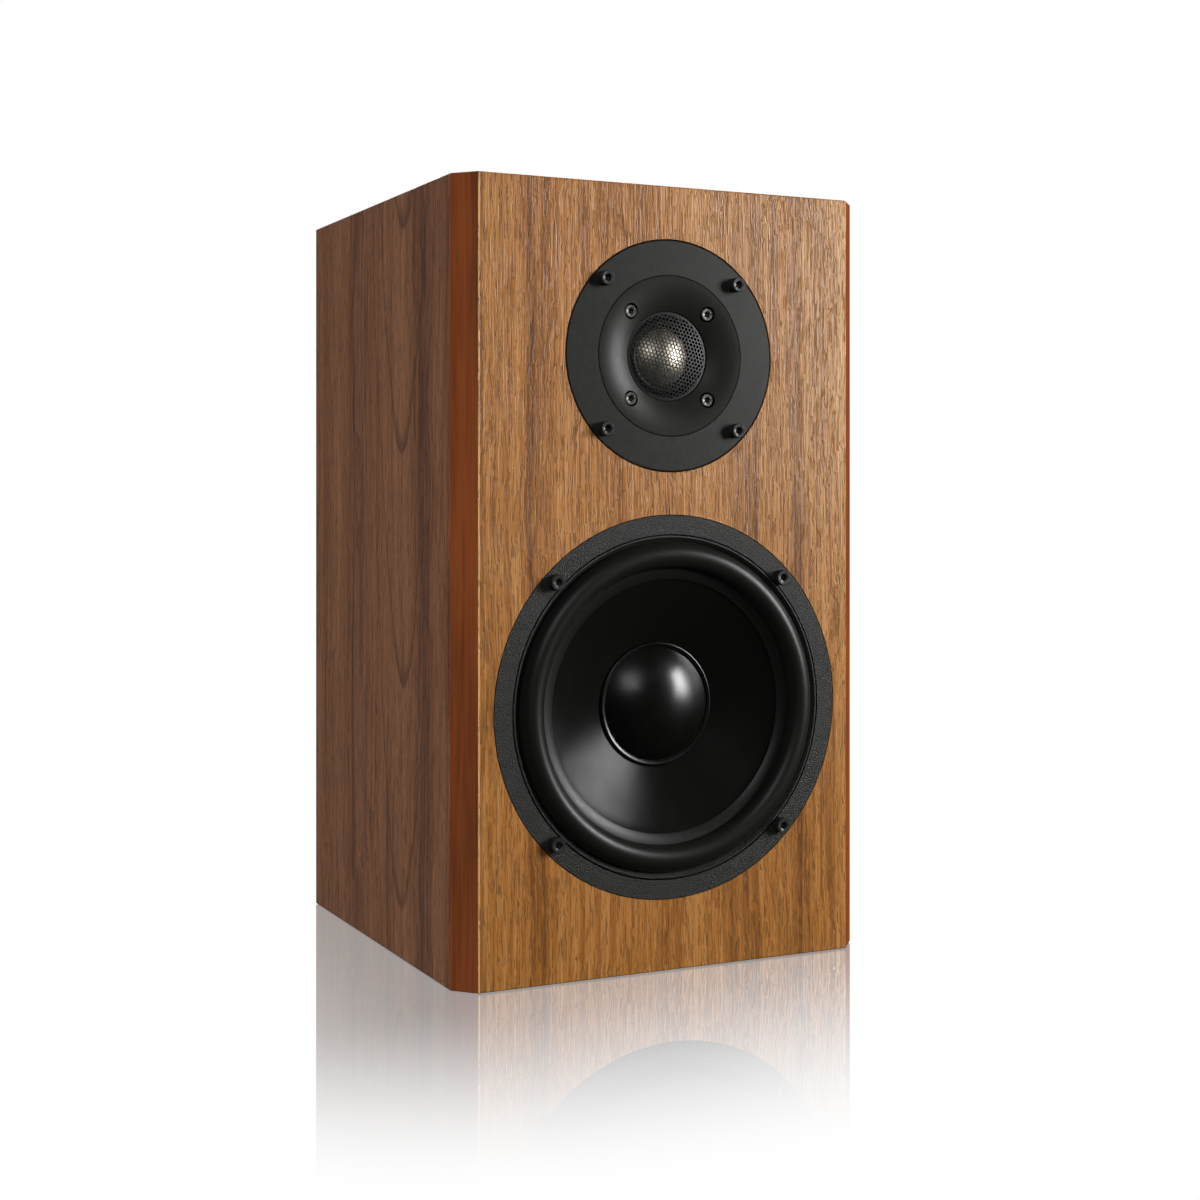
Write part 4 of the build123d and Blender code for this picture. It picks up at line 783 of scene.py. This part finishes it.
class SPEAKER_OT_surround(bpy.types.Operator):
    """Moulds the woofer's rubber half roll, which stretches between the basket and the cone"""

    bl_idname = "speaker.surround"
    bl_label = "Woofer surround"

    def execute(self, context):
        wall = context.scene.speaker_drivers.roll_wall
        held, moving = 74.4 * MM, 62.0 * MM
        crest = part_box("woofer_surround")[0].y - FRONT
        outer = reach("woofer_surround")
        half = (held - moving) / 2
        rise = SEAT - crest
        ball = (half**2 + rise**2) / (2 * rise)
        heart = (held + moving) / 2
        open_angle = 180 - 2 * (90 - 2 * atan(rise / half) * 180 / pi)
        begin = 90 - open_angle / 2
        front = bow(heart, crest + ball, ball, begin, 180 - begin, 28)
        back = bow(heart, crest + ball, ball - wall, 180 - begin, begin, 28)
        profile = [(outer, SEAT)] + front
        profile += [(CONE_LIP[0] + 0.25 * MM, CONE_LIP[1] - wall), (CONE_LIP[0], CONE_LIP[1] - 0.6 * wall)]
        profile += [(CONE_LIP[0], CONE_LIP[1]), (moving - 0.2 * MM, SEAT + wall)]
        profile += [(r, min(d, SEAT + wall)) for r, d in back]
        profile += [(outer, SEAT + wall), (outer, SEAT)]
        surround = turned("half_roll", WOOFER, profile, smooth=radians(40))
        stretch(
            surround, "woofer_cone_assembly", "surround_rubber",
            radial_share(WOOFER, held, moving), "woofer_surround",
        )
        return {"FINISHED"}


class SPEAKER_OT_spider(bpy.types.Operator):
    """Presses the pleated spider behind the cone"""

    bl_idname = "speaker.spider"
    bl_label = "Woofer spider"

    def execute(self, context):
        neck = reach("woofer_coil_former")
        outer = reach("woofer_spider")
        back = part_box("woofer_spider")[1].y - FRONT
        cloth, swing = 0.5 * MM, 0.55 * MM
        first, last = neck + 1.5 * MM, outer - 3.6 * MM
        steps = 8 * context.scene.speaker_drivers.pleats
        front = [(outer, back - cloth)]
        for i in range(steps + 1):
            share = i / steps
            wave = swing * (1 - cos(2 * pi * context.scene.speaker_drivers.pleats * share))
            front.append((last + (first - last) * share, back - cloth - wave))
        front.append((neck, back - cloth))
        rear = [(radius, depth + cloth) for radius, depth in reversed(front)]
        spider = turned("pleated_disc", WOOFER, front + rear + front[:1], smooth=radians(60))
        stretch(
            spider, "woofer_cone_assembly", "spider_cloth",
            radial_share(WOOFER, last, first), "woofer_spider",
        )
        return {"FINISHED"}


class SPEAKER_OT_tinsel(bpy.types.Operator):
    """Lays the braided leads from the cone to the terminal strip"""

    bl_idname = "speaker.tinsel"
    bl_label = "Tinsel leads"

    def execute(self, context):
        copy = packed_copy("woofer_tinsel_leads", "braided_leads")
        low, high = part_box("woofer_tinsel_leads")
        near, far = high.z - 2 * MM, low.z + 8 * MM

        def share(point):
            part = min(1.0, max(0.0, (point.z - far) / (near - far)))
            return part * part * (3 - 2 * part)

        stretch(copy, "woofer_cone_assembly", "tinsel", share, "woofer_tinsel_leads")
        return {"FINISHED"}


def packed_copy(source, name, move=(0, 0, 0)):
    """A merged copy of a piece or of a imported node, free of its body, moved aside by this much."""
    clear_selection()
    source = frame["nodes"][source] if isinstance(source, str) else source
    source.select_set(True)
    bpy.context.view_layer.objects.active = source
    bpy.ops.object.duplicate()
    copy = bpy.context.object
    bpy.ops.object.parent_clear(type="CLEAR_KEEP_TRANSFORM")
    for key in [k for k in copy.keys() if k.startswith("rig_")]:
        del copy[key]
    bpy.ops.transform.translate(value=move)
    named(name)
    tidy_mesh(radians(30))
    return copy


# ------------------------------------------------------------------ tweeter
class SPEAKER_OT_tweeter_plate(bpy.types.Operator):
    """Coats the tweeter's faceplate and waveguide and finishes what is behind them"""

    bl_idname = "speaker.tweeter_plate"
    bl_label = "Tweeter plate"

    def execute(self, context):
        paint(["tweeter_faceplate"], "satin_metal")
        paint(["tweeter_waveguide"], "satin_metal", "satin_horn")
        paint(["tweeter_gasket"], "gasket_foam")
        paint(["tweeter_dome"], "dome_metal")
        paint(["tweeter_voice_coil"], "copper_wire")
        paint(["tweeter_front_plate", "tweeter_yoke"], "zinc_steel")
        paint(["tweeter_magnet"], "ferrite")
        paint(["tweeter_rear_chamber"], "black_plastic")
        paint(["tweeter_terminals"], "gilt_brass")
        return {"FINISHED"}


class SPEAKER_OT_grille(bpy.types.Operator):
    """Punches the domed hexagonal mesh over the tweeter"""

    bl_idname = "speaker.grille"
    bl_label = "Tweeter mesh"

    def execute(self, context):
        drivers = context.scene.speaker_drivers
        low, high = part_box("tweeter_mesh")
        rim = reach("tweeter_mesh")
        sheet = 0.28 * MM
        foot = rim - 1.0 * MM
        pitch, turn = drivers.mesh_pitch, drivers.mesh_turn
        count = 2 * int(rim / (pitch * sin(radians(60)))) + 3
        along = Vector((cos(-turn), 0, sin(-turn))) * pitch
        across = Vector((cos(pi / 3 - turn), 0, sin(pi / 3 - turn))) * pitch
        corner = TWEETER - (along + across) * (count - 1) / 2
        clear_selection()
        bpy.ops.mesh.primitive_circle_add(
            vertices=6, radius=pitch / sqrt(3), fill_type="NGON",
            location=(corner.x, low.y, corner.z), rotation=(pi / 2, turn, 0),
        )
        mesh = named("hexagon_mesh")
        bpy.ops.object.mode_set(mode="EDIT")
        bpy.ops.mesh.select_all(action="SELECT")
        bpy.ops.mesh.inset(thickness=drivers.mesh_wire / 2)
        bpy.ops.mesh.delete(type="FACE")
        bpy.ops.object.mode_set(mode="OBJECT")
        for step in (along, across):
            row = mesh.modifiers.new("row", "ARRAY")
            row.count = count
            row.use_relative_offset = False
            row.use_constant_offset = True
            row.constant_offset_displace = step
            row.use_merge_vertices = True
            row.merge_threshold = 0.02 * MM
            bpy.ops.object.modifier_apply(modifier=row.name)
        self.trim(mesh, foot + 0.35 * pitch)
        self.dome(mesh, foot, high.y, low.y)
        wall = mesh.modifiers.new("wall", "SOLIDIFY")
        wall.thickness = sheet
        wall.offset = 1
        bpy.ops.object.modifier_apply(modifier=wall.name)
        tidy_mesh(radians(35))
        ride(mesh, "cabinet", "mesh_steel", "tweeter_mesh")
        depth = high.y - FRONT
        edge = [(rim, depth), (rim, depth - 0.6 * MM), (rim - 0.2 * MM, depth - 0.75 * MM)]
        edge += [(foot - 0.2 * MM, depth - 0.8 * MM), (foot - 0.5 * MM, depth - 0.2 * MM)]
        edge += [(foot - 0.5 * MM, depth), (rim, depth)]
        ring = turned("mesh_rim", TWEETER, edge)
        ride(ring, "cabinet", "mesh_steel")
        return {"FINISHED"}

    def trim(self, mesh, radius):
        """Deletes the cells outside the rim."""
        bpy.ops.object.mode_set(mode="EDIT")
        bpy.ops.mesh.select_all(action="DESELECT")
        bpy.ops.object.mode_set(mode="OBJECT")
        for face in mesh.data.polygons:
            face.select = hypot(face.center.x - TWEETER.x, face.center.z - TWEETER.z) > radius
        bpy.ops.object.mode_set(mode="EDIT")
        bpy.ops.mesh.select_mode(type="FACE")
        bpy.ops.mesh.delete(type="FACE")
        bpy.ops.mesh.select_mode(type="VERT")
        bpy.ops.object.mode_set(mode="OBJECT")

    def dome(self, mesh, foot, back, front):
        """Presses the flat sheet onto a shallow cap."""
        rise = back - front - 0.5 * MM
        ball = (foot**2 + rise**2) / (2 * rise)
        clear_selection()
        bpy.ops.mesh.primitive_uv_sphere_add(
            segments=96, ring_count=64, radius=ball, location=(TWEETER.x, front + ball, TWEETER.z)
        )
        form = bpy.context.object
        clear_selection()
        mesh.select_set(True)
        bpy.context.view_layer.objects.active = mesh
        press = mesh.modifiers.new("press", "SHRINKWRAP")
        press.target = form
        press.wrap_method = "PROJECT"
        press.use_project_y = True
        press.use_negative_direction = False
        press.use_positive_direction = True
        bpy.ops.object.modifier_apply(modifier=press.name)
        bpy.data.objects.remove(form)


class SPEAKER_OT_tweeter_surround(bpy.types.Operator):
    """Moulds the small roll round the tweeter's dome"""

    bl_idname = "speaker.tweeter_surround"
    bl_label = "Tweeter surround"

    def execute(self, context):
        outer = reach("tweeter_surround")
        seat = 8.0 * MM
        inner = reach("tweeter_dome")
        held, moving = 17.2 * MM, inner + 0.8 * MM
        wall, rise = 0.4 * MM, 1.2 * MM
        heart, half = (held + moving) / 2, (held - moving) / 2
        front = [(heart + half * cos(pi * i / 16), seat - rise * sin(pi * i / 16)) for i in range(17)]
        back = [
            (heart - (half - 0.3 * MM) * cos(pi * i / 16), seat + wall - rise * sin(pi * i / 16))
            for i in range(17)
        ]
        profile = [(outer, seat)] + front
        profile += [(inner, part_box("tweeter_dome")[1].y - FRONT - 0.2 * MM)]
        profile += [(inner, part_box("tweeter_dome")[1].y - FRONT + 0.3 * MM)]
        profile += back + [(outer, seat + wall), (outer, seat)]
        roll = turned("tweeter_roll", TWEETER, profile, smooth=radians(50))
        stretch(
            roll, "tweeter_diaphragm", "surround_rubber",
            radial_share(TWEETER, held, moving), "tweeter_surround",
        )
        return {"FINISHED"}


# ------------------------------------------------------------------ screws
SCREWS = (
    ("woofer_screws", "woofer_bolt", 3.5 * MM, 3.9 * MM, 1.5 * MM, "black_screw"),
    ("tweeter_screws", "tweeter_bolt", 3.3 * MM, 3.9 * MM, 1.5 * MM, "black_screw"),
    ("waveguide_screws", "waveguide_bolt", 3.0 * MM, 3.2 * MM, 1.25 * MM, "dull_screw"),
)


class SPEAKER_OT_screws(bpy.types.Operator):
    """Machines the knurled socket screws of both drivers, four of each"""

    bl_idname = "speaker.screws"
    bl_label = "Screws"

    def execute(self, context):
        paint(["terminal_cup_screws"], "black_screw")
        for node, name, head, height, socket, slot in SCREWS:
            low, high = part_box(node)
            centre = Vector((high.x - head, 0, high.z - head))
            first = self.screw(name + "_1", centre, low.y, high.y, head, height, socket)
            ride(first, "cabinet", slot, node)
            left = low.x - high.x + 2 * head
            below = low.z - high.z + 2 * head
            for index, (across, down) in enumerate([(left, 0), (left, below), (0, below)]):
                copy = packed_copy(first, f"{name}_{index + 2}", (across, 0, down))
                ride(copy, "cabinet", slot)
        return {"FINISHED"}

    def screw(self, name, centre, top, end, head, height, socket):
        """One screw, grown from its shank to the bottom of its hexagon socket."""
        shank, edge = head * 0.56, 0.35 * MM
        depths = [end, top + height, top + height, top + edge, top, top, top + 0.18 * MM, top + 0.55 * height]
        radii = [shank, shank, head, head, head - edge, socket + 0.45 * MM, socket, socket]
        profile = [(radius, depth - FRONT) for radius, depth in zip(radii, depths)]
        profile.append((0, top + 0.62 * height - FRONT))
        piece = turned(name, centre, profile, sides=48, smooth=radians(30))
        knurl = 0.955
        self.shape(piece, centre, knurl, lambda radius, turn: radius > head - 0.02 * MM and turn % 2)
        for offset in range(1, 5):
            self.shape(
                piece, centre, 1 / cos(radians(7.5 * offset)),
                lambda radius, turn: abs(radius - socket) < 0.02 * MM and abs((turn + 4) % 8 - 4) == offset,
            )
        bpy.ops.object.shade_smooth_by_angle(angle=radians(25))
        return piece

    def shape(self, piece, centre, factor, chosen):
        """Scales points about the screw's axis, chosen by their radius and their step round it."""
        bpy.ops.object.mode_set(mode="EDIT")
        bpy.ops.mesh.select_mode(type="VERT")
        bpy.ops.mesh.select_all(action="DESELECT")
        bpy.ops.object.mode_set(mode="OBJECT")
        count = 0
        for vertex in piece.data.vertices:
            across, up = vertex.co.x - centre.x, vertex.co.z - centre.z
            turn = round(atan2(up, across) * 24 / pi) % 48
            vertex.select = bool(chosen(hypot(across, up), turn))
            count += vertex.select
        if not count:
            raise RuntimeError(f"{piece.name} has no points to shape")
        bpy.ops.object.mode_set(mode="EDIT")
        bpy.ops.transform.resize(value=(factor, 1, factor), center_override=(centre.x, 0, centre.z))
        bpy.ops.object.mode_set(mode="OBJECT")


# ------------------------------------------------------------------ rear and inside
class SPEAKER_OT_rear(bpy.types.Operator):
    """Finishes the port, the terminal cup and the binding posts"""

    bl_idname = "speaker.rear"
    bl_label = "Port and terminals"

    def execute(self, context):
        paint(["port_tube", "port_flange", "terminal_cup", "post_collars"], "black_plastic")
        paint(["post_studs", "clamp_washer_red", "clamp_washer_black"], "gilt_brass")
        paint(["post_knob_red"], "red_plastic")
        paint(["post_knob_black"], "knob_black")
        paint(["post_nuts"], "zinc_steel")
        return {"FINISHED"}


class SPEAKER_OT_crossover(bpy.types.Operator):
    """Finishes the crossover board, its components and the leads"""

    bl_idname = "speaker.crossover"
    bl_label = "Crossover"

    def execute(self, context):
        paint(["crossover_board"], "board_laminate")
        paint(["crossover_fixings", "inductor_bobbins"], "black_plastic")
        paint(["inductor_windings"], "copper_wire", "copper_coil")
        paint(["crossover_capacitors"], "capacitor_film")
        paint(["crossover_resistors"], "resistor_cement")
        paint(["cabinet_leads"], "lead_insulation")
        return {"FINISHED"}


# ------------------------------------------------------------------ stage
class SPEAKER_OT_stage(bpy.types.Operator):
    """Lays the pale floor and sets the soft lights and the camera"""

    bl_idname = "speaker.stage"
    bl_label = "Stage"

    heading = radians(25.532)

    def execute(self, context):
        self.floor(context.scene.speaker_studio)
        self.sky(context.scene)
        self.lights(context.scene.speaker_studio)
        self.camera(context.scene)
        context.scene.view_settings.view_transform = "Standard"
        return {"FINISHED"}

    def floor(self, studio):
        """A white floor that mirrors the cabinet's foot and fades to plain white."""
        clear_selection()
        bpy.ops.mesh.primitive_plane_add(size=12, location=(0, 0, -0.0002))
        floor = named("floor")
        material = bpy.data.materials.new("floor_white")
        material.use_nodes = True
        tree = material.node_tree
        tree.nodes.remove(tree.nodes["Principled BSDF"])
        part = add(material, "ShaderNodeSeparateXYZ", {0: place(material)})
        gaps = []
        for name, edge in (("X", HALF_WIDTH), ("Y", -FRONT)):
            beyond = sums(material, "SUBTRACT", sums(material, "ABSOLUTE", part.outputs[name]), edge)
            gaps.append(sums(material, "MAXIMUM", beyond, 0.0))
        squares = [sums(material, "MULTIPLY", gap, gap) for gap in gaps]
        away = sums(material, "SQRT", sums(material, "ADD", squares[0], squares[1]))
        shine = between(material, away, 0.0, studio.floor_fade, studio.floor_shine, 0.0)
        white = add(material, "ShaderNodeEmission", {"Color": (1, 1, 1, 1), "Strength": 1.0})
        mirror = add(material, "ShaderNodeBsdfGlossy", {"Color": (1, 1, 1, 1), "Roughness": 0.0})
        both = add(material, "ShaderNodeMixShader", {0: shine, 1: white.outputs[0], 2: mirror.outputs[0]})
        tree.links.new(both.outputs[0], tree.nodes["Material Output"].inputs["Surface"])
        floor.data.materials.append(material)
        floor.visible_diffuse = False
        floor.visible_glossy = False
        floor.visible_shadow = False

    def sky(self, scene):
        """White for the camera and the floor's mirror, soft light on the pieces, dim in reflections."""
        world = bpy.data.worlds.new("studio")
        world.use_nodes = True
        scene.world = world
        around = add(world, "ShaderNodeTexCoord").outputs["Generated"]
        side = add(
            world, "ShaderNodeVectorMath", {0: around, 1: (-0.78, 0.58, 0.22)}, operation="DOT_PRODUCT"
        ).outputs["Value"]
        soft = between(world, side, -0.25, 0.85, 0.03, 1.0)
        path = add(world, "ShaderNodeLightPath").outputs
        lit = sums(world, "MULTIPLY", soft, path["Is Diffuse Ray"])
        plain = sums(world, "MAXIMUM", path["Is Camera Ray"], path["Is Singular Ray"])
        strength = sums(world, "MAXIMUM", sums(world, "MAXIMUM", lit, plain), 0.03)
        background = world.node_tree.nodes["Background"]
        background.inputs["Color"].default_value = (1, 1, 1, 1)
        world.node_tree.links.new(strength, background.inputs["Strength"])

    def lights(self, studio):
        """Three soft lights by their bearing to the right of the front, their height angle and distance."""
        aim = Vector((WOOFER.x, FRONT, WOOFER.z))
        for name, bearing, climb, away, size, power in (
            ("key_light", 56, 15, 1.5, (0.45, 0.62), studio.key_power),
            ("front_light", -17, 26, 1.8, (0.60, 0.60), studio.fill_power),
            ("rear_light", 160, 35, 2.0, (0.90, 0.90), studio.rear_power),
        ):
            level = away * cos(radians(climb))
            offset = Vector((
                level * sin(radians(bearing)), -level * cos(radians(bearing)), away * sin(radians(climb))
            ))
            clear_selection()
            bpy.ops.object.light_add(type="AREA", location=aim + offset)
            light = bpy.context.object
            light.name = name
            light.data.shape = "RECTANGLE"
            light.data.size, light.data.size_y = size
            light.data.energy = power
            light.rotation_euler = (-offset).to_track_quat("-Z", "Y").to_euler()

    def camera(self, scene):
        clear_selection()
        bpy.ops.object.camera_add(location=(-0.39727, -0.83544, 0.21324), rotation=(pi / 2, 0, -self.heading))
        camera = bpy.context.object
        camera.name = "camera"
        camera.data.lens = 55.778
        camera.data.sensor_width = 36
        camera.data.shift_x = 0.0180
        camera.data.shift_y = -0.0873
        camera.data.clip_start = 0.01
        scene.camera = camera


PIECES = (
    SPEAKER_OT_cabinet,
    SPEAKER_OT_foam,
    SPEAKER_OT_woofer_frame,
    SPEAKER_OT_cone,
    SPEAKER_OT_dust_cap,
    SPEAKER_OT_surround,
    SPEAKER_OT_spider,
    SPEAKER_OT_tinsel,
    SPEAKER_OT_tweeter_plate,
    SPEAKER_OT_grille,
    SPEAKER_OT_tweeter_surround,
    SPEAKER_OT_screws,
    SPEAKER_OT_rear,
    SPEAKER_OT_crossover,
    SPEAKER_OT_stage,
)


class SPEAKER_PT_panel(bpy.types.Panel):
    """Lists the pieces and their sizes and colours"""

    bl_label = "Speaker"
    bl_idname = "SPEAKER_PT_panel"
    bl_space_type = "VIEW_3D"
    bl_region_type = "UI"
    bl_category = "Speaker"

    def draw(self, context):
        for group in ("speaker_wood", "speaker_drivers", "speaker_studio"):
            box = self.layout.box()
            settings = getattr(context.scene, group)
            for name in settings.bl_rna.properties.keys():
                if name not in ("rna_type", "name"):
                    box.prop(settings, name)
        for piece in PIECES:
            self.layout.operator(piece.bl_idname)


CLASSES = (WoodSettings, DriverSettings, StudioSettings, *PIECES, SPEAKER_PT_panel)


def register():
    for made in CLASSES:
        bpy.utils.register_class(made)
    bpy.types.Scene.speaker_wood = PointerProperty(type=WoodSettings)
    bpy.types.Scene.speaker_drivers = PointerProperty(type=DriverSettings)
    bpy.types.Scene.speaker_studio = PointerProperty(type=StudioSettings)


def unregister():
    for name in ("speaker_wood", "speaker_drivers", "speaker_studio"):
        delattr(bpy.types.Scene, name)
    for made in reversed(CLASSES):
        bpy.utils.unregister_class(made)


def main():
    register()
    for piece in PIECES:
        group, name = piece.bl_idname.split(".")
        getattr(getattr(bpy.ops, group), name)()


if __name__ == "__main__":
    main()
